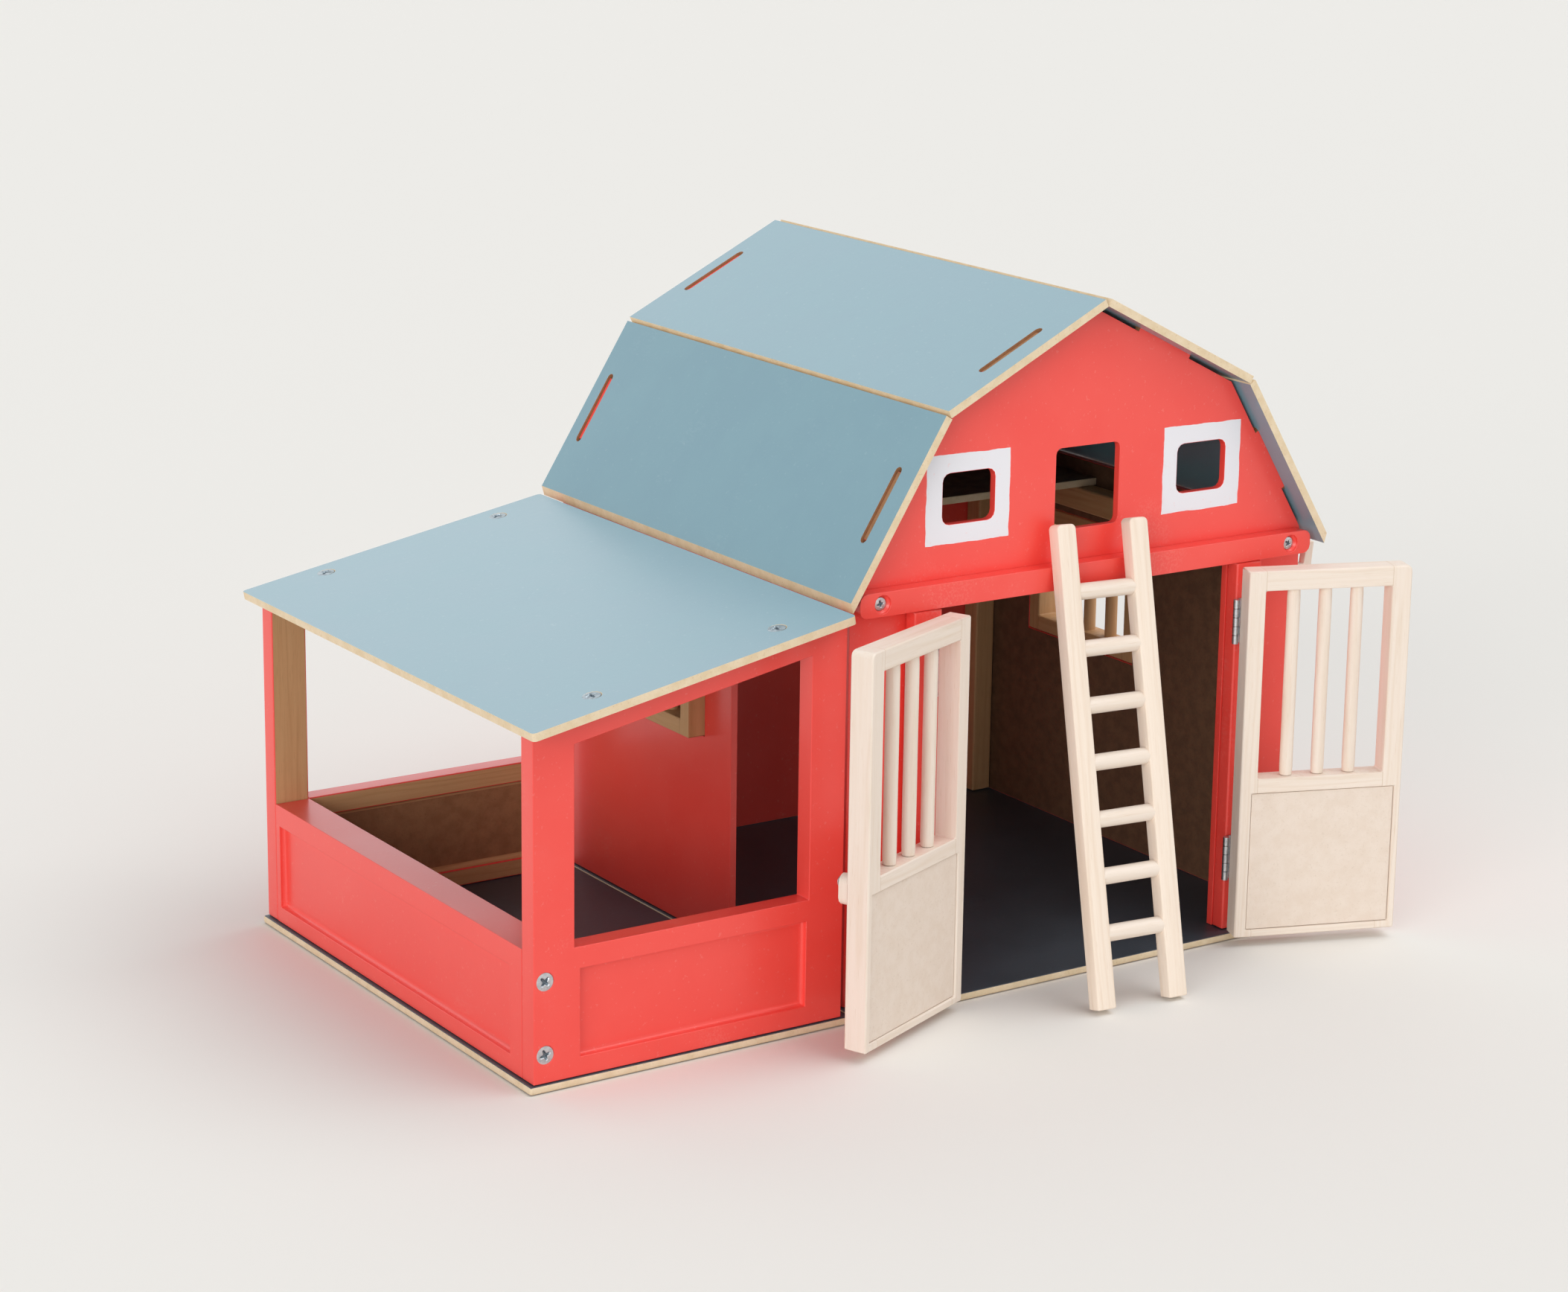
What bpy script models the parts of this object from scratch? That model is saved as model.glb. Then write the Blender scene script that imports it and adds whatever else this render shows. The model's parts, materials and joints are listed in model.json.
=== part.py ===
"""Wooden toy barn with a gambrel roof, two swinging doors, a loft, a ladder and an open lean-to stall.

Metres, +Z up. X runs along the front, Y from the front to the rear, and the origin is the centre of
the bounding box on the ground. The main barn is drawn about its own centre line and the whole toy is
moved to the origin at the end.
"""

from math import atan2, cos, pi, radians, sin, tan

import bmesh
import bpy
from mathutils import Matrix, Vector

# Driving dimensions of the main barn
BARN_HALF_WIDTH = 0.1332
BOARD = 0.0038
SEAT_GAP = 0.0003
FRONT_WALL_SETBACK = 0.0095
BARN_DEPTH = 0.2601
FLOOR_SIDE_LIP = 0.0018
FLOOR_FRONT_LIP = 0.0135
FLOOR_REAR_LIP = 0.0014
CUT_OVERRUN = 0.0020

# Gambrel roof, measured on its outer surface
KNEE_INSET = 0.0439
KNEE_RISE = 0.0807
UPPER_SLOPE = radians(26.70)
LOWER_SLOPE = radians(58.15)
LOWER_ROOF_LENGTH = 0.0985
KNEE_JOINT_STEP = 0.0023
ROOF_FRONT_OVERHANG = 0.0117
ROOF_REAR_OVERHANG = 0.0086
GABLE_PLAY = 0.0017
TAB_LENGTH = 0.0345
TAB_RECESS = 0.0012
SLOT_LENGTH = 0.0386
GABLE_CORNER_RADIUS = 0.0060

# Door opening, beam and jambs
OPENING_HALF_WIDTH = 0.0875
OPENING_HEIGHT = 0.1910
BATTEN = 0.0082
BEAM_HEIGHT = 0.0115
BEAM_CORNER_RADIUS = 0.0040
JAMB_WIDTH = 0.0153
TIMBER_EDGE = 0.0006

# Gable windows and loft opening
GABLE_WINDOW_WIDTH = 0.0295
GABLE_WINDOW_HEIGHT = 0.0240
GABLE_WINDOW_INSET = 0.0647
GABLE_WINDOW_RISE = 0.0369
GABLE_WINDOW_RADIUS = 0.0040
LOFT_OPENING_WIDTH = 0.0374
LOFT_SILL_RISE = 0.0149
LOFT_OPENING_HEIGHT = 0.0392
LOFT_OPENING_RADIUS = 0.0030

# Posts, rails and the loft floor
POST = 0.0120
LOFT_RAIL_HEIGHT = 0.0122
LOFT_RAIL_DROP = 0.0101
LOFT_DEPTH = 0.1026

# Doorway in the left wall and the barred side windows
SIDE_DOORWAY_REAR = 0.1085
SIDE_DOORWAY_DROP = 0.0260
WINDOW_FRONT = 0.1326
WINDOW_LENGTH = 0.0894
WINDOW_DROP = 0.0870
WINDOW_HEIGHT = 0.0690
WINDOW_MEMBER = 0.0080
WINDOW_DEPTH = 0.0128
BAR_RADIUS = 0.00325
BAR_COUNT = 3

# Brackets under the right eave
BRACKET_BOARD = 0.0040
BRACKET_FOOT_DROP = 0.0130
BRACKET_FOOT_HEIGHT = 0.0050
BRACKET_REACH = 0.0085
BRACKET_LIP = 0.0045
BRACKET_RISE = 0.0025
BRACKET_LEAN = radians(6)
BRACKET_INSET = 0.0006

# Doors
DOOR_HINGE_GAP = 0.0026
DOOR_THICKNESS = 0.0116
DOOR_BOTTOM = 0.0048
DOOR_TOP_GAP = 0.0008
DOOR_MEETING_GAP = 0.0018
DOOR_CORNER_RADIUS = 0.0028
DOOR_HINGE_STILE = 0.00875
DOOR_FREE_STILE = 0.0100
DOOR_TOP_RAIL = 0.0100
DOOR_MID_RAIL_BOTTOM = 0.0785
DOOR_MID_RAIL_TOP = 0.0860
DOOR_PANEL_HINGE_MARGIN = 0.0060
DOOR_PANEL_FREE_MARGIN = 0.0035
DOOR_PANEL_BOTTOM_MARGIN = 0.0038
DOOR_PANEL_RECESS = 0.0010
LEFT_DOOR_OPEN = radians(156.4)
RIGHT_DOOR_OPEN = radians(160.0)

# Butt hinges
HINGE_HEIGHT = 0.0220
HINGE_UPPER_DROP = 0.0278
HINGE_LOWER_Z = 0.0420
LEAF_THICKNESS = 0.0008
LEAF_WIDTH = 0.0085
BARREL_RADIUS = 0.0016
PIN_RADIUS = 0.0007
PIN_PLAY = 0.0002
KNUCKLE_COUNT = 5
KNUCKLE_GAP = 0.0003

# Turn-button on the left door
LATCH_LENGTH = 0.0145
LATCH_WIDTH = 0.0080
LATCH_THICKNESS = 0.0046
LATCH_TOP = 0.0860
LATCH_EDGE_SETBACK = 0.0050
LATCH_PLAY = 0.0003
LATCH_SCREW_RADIUS = 0.0012
LATCH_HEAD_RADIUS = 0.0025
LATCH_HEAD_THICKNESS = 0.0012
LATCH_SCREW_DEPTH = 0.0080

# Ladder
LADDER_ABOVE_BEAM = 0.0188
LADDER_WIDTH = 0.0510
LADDER_RAIL_WIDTH = 0.0102
LADDER_RAIL_DEPTH = 0.0080
LADDER_LEAN = radians(13.4)
LADDER_TURN = radians(3.0)
LADDER_TILT = radians(1.05)
LADDER_FOOT_X = -0.0071
RUNG_RADIUS = 0.0040
RUNG_COUNT = 7
FIRST_RUNG = 0.0348
LAST_RUNG_DROP = 0.0320
LADDER_CORNER_RADIUS = 0.0025

# Lean-to stall
STALL_WIDTH = 0.1606
STALL_BARN_GAP = 0.0075
STALL_REAR_SETBACK = 0.0034
STALL_WALL = 0.0103
STALL_FLOOR_LIP = 0.0023
STALL_FLOOR_FRONT_LIP = 0.0012
STALL_FLOOR_REAR_LIP = 0.0015
SILL_HEIGHT = 0.0639
STALL_LEFT_STILE = 0.0204
STALL_REAR_LEFT_STILE = 0.0179
STALL_RIGHT_STILE = 0.0185
STALL_TOP_RAIL = 0.0132
RECESS_LEFT_MARGIN = 0.0233
RECESS_RIGHT_MARGIN = 0.0198
RECESS_BOTTOM = 0.0130
RECESS_TOP = 0.0538
SIDE_WALL_THICKNESS = 0.0180
SIDE_WALL_TOP = 0.0638
SIDE_RECESS_FRONT_MARGIN = 0.0109
SIDE_RECESS_REAR_MARGIN = 0.0040
SIDE_RECESS_BOTTOM = 0.0120
SIDE_RECESS_TOP = 0.0533
SIDE_RECESS_DEPTH = 0.0030

# Lean-to roof, measured on its top surface
STALL_EAVE_OVERHANG = 0.0078
STALL_ROOF_WALL_GAP = 0.0124
STALL_ROOF_RISE = 0.0073
STALL_ROOF_SLOPE = radians(10.50)
STALL_ROOF_FRONT_OVERHANG = 0.0141
STALL_ROOF_REAR_OVERHANG = 0.0054
STALL_ROOF_CORNER_RADIUS = 0.0020

# Countersunk screws
SCREW_HEAD_RADIUS = 0.00415
SCREW_SHANK_RADIUS = 0.0015
SCREW_HEAD_HEIGHT = 0.0024
SCREW_LENGTH = 0.0110
ROOF_SCREW_LEFT_INSET = 0.0311
ROOF_SCREW_RIGHT_INSET = 0.0352
ROOF_SCREW_INSET = 0.0035
WALL_SCREW_INSET = 0.0060
WALL_SCREW_UPPER_Z = 0.0509
WALL_SCREW_LOWER_Z = 0.0172
BEAM_SCREW_END = 0.0125
BEAM_SCREW_SINK = 0.0010

# Drawing detail
ROUND_END_SHARE = 0.999
EDGE_ANGLE = radians(40)
FLAT_ANGLE = radians(0.1)
ROUND_SIDES = 16
SCREW_SIDES = 12
CORNER_STEPS = 3

# Places that follow from the sizes
ON_FLOOR = BOARD + SEAT_GAP
FRONT_WALL_BACK = FRONT_WALL_SETBACK + BOARD
REAR_WALL_BACK = FRONT_WALL_SETBACK + BARN_DEPTH
REAR_WALL_FRONT = REAR_WALL_BACK - BOARD
INSIDE_FRONT = FRONT_WALL_BACK + SEAT_GAP
INSIDE_REAR = REAR_WALL_FRONT - SEAT_GAP
INSIDE_HALF_WIDTH = BARN_HALF_WIDTH - BOARD
FLOOR_HALF_WIDTH = BARN_HALF_WIDTH + FLOOR_SIDE_LIP
BATTEN_FRONT = FRONT_WALL_SETBACK - BATTEN
BATTEN_BACK = FRONT_WALL_SETBACK - SEAT_GAP
BEAM_TOP = OPENING_HEIGHT + BEAM_HEIGHT
BEAM_SCREW_X = BARN_HALF_WIDTH - BEAM_SCREW_END
KNEE_X = BARN_HALF_WIDTH - KNEE_INSET
KNEE_Z = BEAM_TOP + KNEE_RISE
GABLE_WINDOW_X = BARN_HALF_WIDTH - GABLE_WINDOW_INSET
GABLE_WINDOW_Z = BEAM_TOP + GABLE_WINDOW_RISE
LOFT_OPENING_SILL = BEAM_TOP + LOFT_SILL_RISE
LOFT_RAIL_BOTTOM = OPENING_HEIGHT - LOFT_RAIL_DROP
SIDE_DOORWAY_HEIGHT = OPENING_HEIGHT - SIDE_DOORWAY_DROP
WINDOW_SILL = OPENING_HEIGHT - WINDOW_DROP
LOFT_RAIL_TOP = LOFT_RAIL_BOTTOM + LOFT_RAIL_HEIGHT
LOFT_BOTTOM = LOFT_RAIL_TOP + SEAT_GAP
LOFT_FRONT = REAR_WALL_BACK - LOFT_DEPTH
BRACKET_FOOT_BOTTOM = OPENING_HEIGHT - BRACKET_FOOT_DROP
BRACKET_TOP = OPENING_HEIGHT + BRACKET_RISE
DOOR_WIDTH = OPENING_HALF_WIDTH - DOOR_HINGE_GAP - DOOR_MEETING_GAP / 2
DOOR_TOP = OPENING_HEIGHT - DOOR_TOP_GAP
HINGE_UPPER_Z = DOOR_TOP - HINGE_UPPER_DROP
DOOR_EDGE_X = DOOR_MEETING_GAP / 2 + DOOR_WIDTH
AXIS_X = (OPENING_HALF_WIDTH + DOOR_EDGE_X) / 2
AXIS_TO_EDGE = AXIS_X - DOOR_EDGE_X
AXIS_TO_FACE = BARREL_RADIUS + SEAT_GAP
AXIS_Y = BATTEN_FRONT - AXIS_TO_FACE
RIDGE_X = SEAT_GAP / 2 + BOARD * sin(UPPER_SLOPE)
UPPER_ROOF_LENGTH = (KNEE_X - RIDGE_X) / cos(UPPER_SLOPE)
RIDGE_Z = KNEE_Z + UPPER_ROOF_LENGTH * sin(UPPER_SLOPE)
ROOF_FRONT = FRONT_WALL_SETBACK - ROOF_FRONT_OVERHANG
ROOF_REAR = REAR_WALL_BACK + ROOF_REAR_OVERHANG
LADDER_LENGTH = BEAM_TOP / cos(LADDER_LEAN) + LADDER_ABOVE_BEAM
RUNG_PITCH = (LADDER_LENGTH - FIRST_RUNG - LAST_RUNG_DROP) / (RUNG_COUNT - 1)
STALL_RIGHT = -BARN_HALF_WIDTH - STALL_BARN_GAP
STALL_LEFT = STALL_RIGHT - STALL_WIDTH
STALL_DEPTH = REAR_WALL_BACK - STALL_REAR_SETBACK
STALL_EAVE_X = STALL_LEFT - STALL_EAVE_OVERHANG
STALL_ROOF_RUN = -BARN_HALF_WIDTH - STALL_ROOF_WALL_GAP - STALL_EAVE_X
STALL_ROOF_LENGTH = STALL_ROOF_RUN / cos(STALL_ROOF_SLOPE)
STALL_EAVE_Z = OPENING_HEIGHT + STALL_ROOF_RISE - STALL_ROOF_RUN * tan(STALL_ROOF_SLOPE)
ROOF_SCREW_X_LEFT = STALL_LEFT + ROOF_SCREW_LEFT_INSET
ROOF_SCREW_X_RIGHT = STALL_RIGHT - ROOF_SCREW_RIGHT_INSET

FACING_FRONT = Matrix(((1, 0, 0), (0, 0, -1), (0, 1, 0)))
FACING_SIDE = Matrix(((0, 0, 1), (1, 0, 0), (0, 1, 0)))
LYING = Matrix.Identity(3)

LOOKS = {
    "barn_red": ((0.48, 0.020, 0.018), 0.45, 0.0),
    "roof_blue": ((0.230, 0.365, 0.445), 0.50, 0.0),
    "floor_navy": ((0.020, 0.030, 0.060), 0.50, 0.0),
    "brown_board": ((0.430, 0.215, 0.100), 0.70, 0.0),
    "pale_wood": ((0.840, 0.740, 0.650), 0.60, 0.0),
    "panel_board": ((0.790, 0.670, 0.540), 0.65, 0.0),
    "post_wood": ((0.620, 0.420, 0.250), 0.65, 0.0),
    "zinc_steel": ((0.600, 0.610, 0.620), 0.35, 1.0),
}


def clear_scene():
    """Remove every object of the open scene."""
    for item in list(bpy.data.objects):
        bpy.data.objects.remove(item, do_unlink=True)


def new_collection(name):
    """Make a collection under the scene's own."""
    group = bpy.data.collections.new(name)
    bpy.context.scene.collection.children.link(group)
    return group


def new_material(name):
    """Make the Principled material that LOOKS describes for one piece."""
    colour, roughness, metallic = LOOKS[name]
    look = bpy.data.materials.new(name)
    look.use_nodes = True
    shader = look.node_tree.nodes["Principled BSDF"]
    shader.inputs["Base Color"].default_value = (*colour, 1)
    shader.inputs["Roughness"].default_value = roughness
    shader.inputs["Metallic"].default_value = metallic
    look.diffuse_color = (*colour, 1)
    return look


clear_scene()
BARN = new_collection("toy_barn")
CUTTERS = new_collection("cutters")
ROOT = bpy.data.objects.new("barn_origin", None)
BARN.objects.link(ROOT)


def new_empty(name, place, turn=0.0):
    """Make an empty that stands on a vertical joint axis."""
    empty = bpy.data.objects.new(name, None)
    empty.location = place
    empty.rotation_euler = (0, 0, turn)
    empty.parent = ROOT
    BARN.objects.link(empty)
    return empty


def add_piece(name, mesh, look, frame=None, parent=None):
    """Place a mesh as a named piece with its own material."""
    piece = bpy.data.objects.new(name, mesh)
    piece.parent = parent or ROOT
    piece.matrix_local = frame or Matrix.Identity(4)
    BARN.objects.link(piece)
    material = new_material(look)
    material.name = name + "_" + look
    mesh.materials.clear()
    mesh.materials.append(material)
    return piece


def add_cutter(name, mesh, frame=None, parent=None):
    """Place a mesh as a hidden cutting guide."""
    cutter = bpy.data.objects.new(name, mesh)
    cutter.parent = parent or ROOT
    cutter.matrix_local = frame or Matrix.Identity(4)
    cutter.hide_render = True
    cutter.display_type = "WIRE"
    CUTTERS.objects.link(cutter)
    return cutter


def combine(piece, other, operation="DIFFERENCE"):
    """Cut or join a piece with another object."""
    step = piece.modifiers.new(operation.lower(), "BOOLEAN")
    step.operation = operation
    step.solver = "EXACT"
    step.object = other


def soften(piece, width=TIMBER_EDGE):
    """Break the sharp edges of a timber."""
    step = piece.modifiers.new("edges", "BEVEL")
    step.width = width
    step.segments = 1
    step.limit_method = "ANGLE"
    step.angle_limit = EDGE_ANGLE


def box_mesh(name, size):
    """Make a box of the given size about its own centre."""
    mesh = bpy.data.meshes.new(name)
    shape = bmesh.new()
    bmesh.ops.create_cube(shape, size=1, matrix=Matrix.Diagonal((*size, 1)))
    shape.to_mesh(mesh)
    shape.free()
    return mesh


def rod_mesh(name, radius, length, sides=ROUND_SIDES):
    """Make a round rod along its own Z about its centre, shaded smooth."""
    mesh = bpy.data.meshes.new(name)
    shape = bmesh.new()
    bmesh.ops.create_cone(shape, cap_ends=True, segments=sides, radius1=radius, radius2=radius, depth=length)
    shape.to_mesh(mesh)
    shape.free()
    mesh.shade_smooth()
    mesh.set_sharp_from_angle(angle=radians(40))
    return mesh


def add_box(name, low, high, look, parent=None, edge=TIMBER_EDGE):
    """Add a timber between two corners."""
    low = Vector(low)
    high = Vector(high)
    piece = add_piece(name, box_mesh(name, high - low), look, Matrix.Translation((low + high) / 2), parent)
    if edge:
        soften(piece, edge)
    return piece


def upright(place):
    """Return a frame at a place with no turn."""
    return Matrix.Translation(place)


def along_y(place):
    """Return a frame at a place whose Z points to the rear."""
    return Matrix.Translation(place) @ Matrix.Rotation(-pi / 2, 4, "X")


def plate_mesh(name, loops, thickness):
    """Make a flat board from closed outlines, its middle plane at Z zero of its own frame."""
    curve = bpy.data.curves.new(name + "_outline", "CURVE")
    curve.dimensions = "2D"
    curve.fill_mode = "BOTH"
    curve.extrude = thickness / 2
    for loop in loops:
        spline = curve.splines.new("POLY")
        spline.points.add(len(loop) - 1)
        for point, place in zip(spline.points, loop):
            point.co = (place[0], place[1], 0, 1)
        spline.use_cyclic_u = True
    guide = bpy.data.objects.new(name + "_outline", curve)
    BARN.objects.link(guide)
    bpy.context.view_layer.update()
    mesh = bpy.data.meshes.new_from_object(guide.evaluated_get(bpy.context.evaluated_depsgraph_get()))
    mesh.name = name
    bpy.data.objects.remove(guide, do_unlink=True)
    shape = bmesh.new()
    shape.from_mesh(mesh)
    bmesh.ops.remove_doubles(shape, verts=shape.verts, dist=0.000001)
    bmesh.ops.dissolve_limit(shape, angle_limit=FLAT_ANGLE, verts=shape.verts, edges=shape.edges)
    shape.to_mesh(mesh)
    shape.free()
    return mesh


def place_plate(axes, origin):
    """Return the frame of a board: its outline's axes and the origin of its middle plane."""
    return Matrix.Translation(origin) @ axes.to_4x4()


def add_plate(name, loops, thickness, axes, origin, look, parent=None):
    """Add a flat board."""
    return add_piece(name, plate_mesh(name, loops, thickness), look, place_plate(axes, origin), parent)


def rectangle(left, right, bottom, top):
    """Return a rectangle's corners, anticlockwise."""
    return [(left, bottom), (right, bottom), (right, top), (left, top)]


def rounded(points, radii):
    """Round the corners of an outline, each with its own radius."""
    result = []
    count = len(points)
    for index, (point, radius) in enumerate(zip(points, radii)):
        corner = Vector(point)
        if not radius:
            result.append(corner)
            continue
        before = (Vector(points[index - 1]) - corner).normalized()
        after = (Vector(points[(index + 1) % count]) - corner).normalized()
        half = before.angle(after) / 2
        reach = radius / tan(half)
        centre = corner + (before + after).normalized() * radius / sin(half)
        start = (corner + before * reach - centre).normalized()
        end = (corner + after * reach - centre).normalized()
        for step in range(CORNER_STEPS + 1):
            result.append(centre + start.slerp(end, step / CORNER_STEPS) * radius)
    return result


def rounded_rectangle(left, right, bottom, top, radius):
    """Return a rectangle with round corners."""
    return rounded(rectangle(left, right, bottom, top), [radius] * 4)


def meeting(first, first_way, second, second_way):
    """Return the point where two lines in a plane cross."""
    across = second - first
    turn = first_way.x * second_way.y - first_way.y * second_way.x
    step = (across.x * second_way.y - across.y * second_way.x) / turn
    return first + first_way * step


# Roof lines in the plane of a gable, on the right half
KNEE = Vector((KNEE_X, KNEE_Z))
UPPER_WAY = Vector((cos(UPPER_SLOPE), -sin(UPPER_SLOPE)))
LOWER_WAY = Vector((cos(LOWER_SLOPE), -sin(LOWER_SLOPE)))
UPPER_OUT = Vector((sin(UPPER_SLOPE), cos(UPPER_SLOPE)))
LOWER_OUT = Vector((sin(LOWER_SLOPE), cos(LOWER_SLOPE)))
UPPER_TAB_MIDDLE = UPPER_ROOF_LENGTH / 2
LOWER_TAB_MIDDLE = (KNEE_JOINT_STEP + LOWER_ROOF_LENGTH) / 2


def roof_height_inside(x, clearance):
    """Return the height of the lower roof's underside at x, less a clearance square to the roof."""
    drop = BOARD + clearance
    return KNEE_Z - (x - KNEE_X) * tan(LOWER_SLOPE) - drop / cos(LOWER_SLOPE)


def gable_half():
    """Return the right half of a gable's edge from the eave corner up to the ridge, with its two tabs."""
    inside = BOARD + GABLE_PLAY
    upper_start = KNEE - UPPER_OUT * inside
    lower_start = KNEE - LOWER_OUT * inside
    knee_inside = meeting(upper_start, UPPER_WAY, lower_start, LOWER_WAY)
    ridge_inside = meeting(upper_start, UPPER_WAY, Vector((0, 0)), Vector((0, 1)))
    eave_inside = meeting(lower_start, LOWER_WAY, Vector((BARN_HALF_WIDTH, 0)), Vector((0, 1)))
    rise = inside - TAB_RECESS
    half_tab = TAB_LENGTH / 2
    points = [(eave_inside, GABLE_CORNER_RADIUS)]
    for start, way, out, middle in (
        (lower_start, LOWER_WAY, LOWER_OUT, LOWER_TAB_MIDDLE),
        (upper_start, -UPPER_WAY, UPPER_OUT, UPPER_TAB_MIDDLE),
    ):
        centre = start + way * middle
        run = way if way.y < 0 else -way
        points.append((centre + run * half_tab, 0))
        points.append((centre + run * half_tab + out * rise, 0))
        points.append((centre - run * half_tab + out * rise, 0))
        points.append((centre - run * half_tab, 0))
        if way is LOWER_WAY:
            points.append((knee_inside, 0))
    points.append((ridge_inside, 0))
    return points


def gable_outline(bottom):
    """Return the whole edge of a gable above its bottom corners, anticlockwise, with the corner radii."""
    right = gable_half()
    left = [(Vector((-place.x, place.y)), radius) for place, radius in reversed(right[:-1])]
    return right + left


def front_wall_loops():
    """Return the outline of the front wall and its three holes."""
    legs = [
        (Vector((-BARN_HALF_WIDTH, ON_FLOOR)), 0),
        (Vector((-OPENING_HALF_WIDTH, ON_FLOOR)), 0),
        (Vector((-OPENING_HALF_WIDTH, OPENING_HEIGHT)), 0),
        (Vector((OPENING_HALF_WIDTH, OPENING_HEIGHT)), 0),
        (Vector((OPENING_HALF_WIDTH, ON_FLOOR)), 0),
        (Vector((BARN_HALF_WIDTH, ON_FLOOR)), 0),
    ]
    edge = legs + gable_outline(ON_FLOOR)
    loops = [rounded([place for place, radius in edge], [radius for place, radius in edge])]
    for side in (-1, 1):
        middle = side * GABLE_WINDOW_X
        loops.append(rounded_rectangle(
            middle - GABLE_WINDOW_WIDTH / 2, middle + GABLE_WINDOW_WIDTH / 2,
            GABLE_WINDOW_Z - GABLE_WINDOW_HEIGHT / 2, GABLE_WINDOW_Z + GABLE_WINDOW_HEIGHT / 2,
            GABLE_WINDOW_RADIUS))
    loops.append(rounded_rectangle(
        -LOFT_OPENING_WIDTH / 2, LOFT_OPENING_WIDTH / 2,
        LOFT_OPENING_SILL, LOFT_OPENING_SILL + LOFT_OPENING_HEIGHT, LOFT_OPENING_RADIUS))
    return loops


def rear_wall_loops():
    """Return the outline of the plain rear wall."""
    legs = [(Vector((-BARN_HALF_WIDTH, ON_FLOOR)), 0), (Vector((BARN_HALF_WIDTH, ON_FLOOR)), 0)]
    edge = legs + gable_outline(ON_FLOOR)
    return [rounded([place for place, radius in edge], [radius for place, radius in edge])]


def screw_profile(growth):
    """Return the half profile of a countersunk screw from its top down, enlarged by a clearance."""
    head = SCREW_HEAD_RADIUS + growth
    shank = SCREW_SHANK_RADIUS + growth
    rim = CUT_OVERRUN if growth else 0
    tip = -SCREW_LENGTH - growth
    profile = [(0, rim), (head, rim)]
    if growth:
        profile.append((head, 0))
    profile.append((shank, -SCREW_HEAD_HEIGHT - growth))
    profile.append((shank, tip))
    profile.append((0, tip))
    return profile


def turned_mesh(name, profile, sides=SCREW_SIDES):
    """Turn a half profile round its own Z axis into a closed mesh, shaded smooth."""
    outline = bpy.data.meshes.new(name + "_profile")
    places = [(radius, 0, height) for radius, height in profile]
    outline.from_pydata(places, [(index, index + 1) for index in range(len(places) - 1)], [])
    guide = bpy.data.objects.new(name + "_profile", outline)
    BARN.objects.link(guide)
    turn = guide.modifiers.new("turn", "SCREW")
    turn.axis = "Z"
    turn.steps = sides
    turn.render_steps = sides
    turn.use_merge_vertices = True
    turn.merge_threshold = 0.000001
    bpy.context.view_layer.update()
    mesh = bpy.data.meshes.new_from_object(guide.evaluated_get(bpy.context.evaluated_depsgraph_get()))
    mesh.name = name
    bpy.data.objects.remove(guide, do_unlink=True)
    mesh.shade_smooth()
    mesh.set_sharp_from_angle(angle=radians(40))
    return mesh


def add_screws(name, frames, targets):
    """Add like screws at their frames and cut their holes in the boards they hold."""
    hole = turned_mesh(name + "_hole", screw_profile(SEAT_GAP))
    for index, frame in enumerate(frames):
        label = name + "_" + str(index + 1)
        add_piece(label, turned_mesh(label, screw_profile(0)), "zinc_steel", frame)
        cutter = add_cutter(label + "_hole", hole, frame)
        for target in targets[index]:
            combine(target, cutter)


def add_main_barn():
    """Build the floor, walls, beam, jambs, posts and loft of the main barn."""
    floor_front = FRONT_WALL_SETBACK - FLOOR_FRONT_LIP
    floor_rear = REAR_WALL_BACK + FLOOR_REAR_LIP
    add_box("main_floor", (-FLOOR_HALF_WIDTH, floor_front, 0), (FLOOR_HALF_WIDTH, floor_rear, BOARD),
            "floor_navy", edge=0)
    front = add_plate("front_wall", front_wall_loops(), BOARD, FACING_FRONT,
                      (0, FRONT_WALL_SETBACK + BOARD / 2, 0), "barn_red")
    add_plate("rear_wall", rear_wall_loops(), BOARD, FACING_FRONT,
              (0, REAR_WALL_BACK - BOARD / 2, 0), "barn_red")
    beam_loop = rounded_rectangle(-BARN_HALF_WIDTH, BARN_HALF_WIDTH, OPENING_HEIGHT, BEAM_TOP,
                                  BEAM_CORNER_RADIUS)
    beam = add_plate("front_beam", [beam_loop], BATTEN_BACK - BATTEN_FRONT, FACING_FRONT,
                     (0, (BATTEN_FRONT + BATTEN_BACK) / 2, 0), "barn_red")
    jamb_top = OPENING_HEIGHT - SEAT_GAP
    for name, side in (("left_jamb", -1), ("right_jamb", 1)):
        inner = side * OPENING_HALF_WIDTH
        outer = side * (OPENING_HALF_WIDTH + JAMB_WIDTH)
        add_box(name, (min(inner, outer), BATTEN_FRONT, ON_FLOOR), (max(inner, outer), BATTEN_BACK, jamb_top),
                "barn_red")
    sunk = BATTEN_FRONT + BEAM_SCREW_SINK
    height = OPENING_HEIGHT + BEAM_HEIGHT / 2
    frames = [Matrix.Translation((side * BEAM_SCREW_X, sunk, height)) @ Matrix.Rotation(pi / 2, 4, "X")
              for side in (-1, 1)]
    add_screws("beam_screw", frames, [(beam, front)] * 2)


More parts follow.
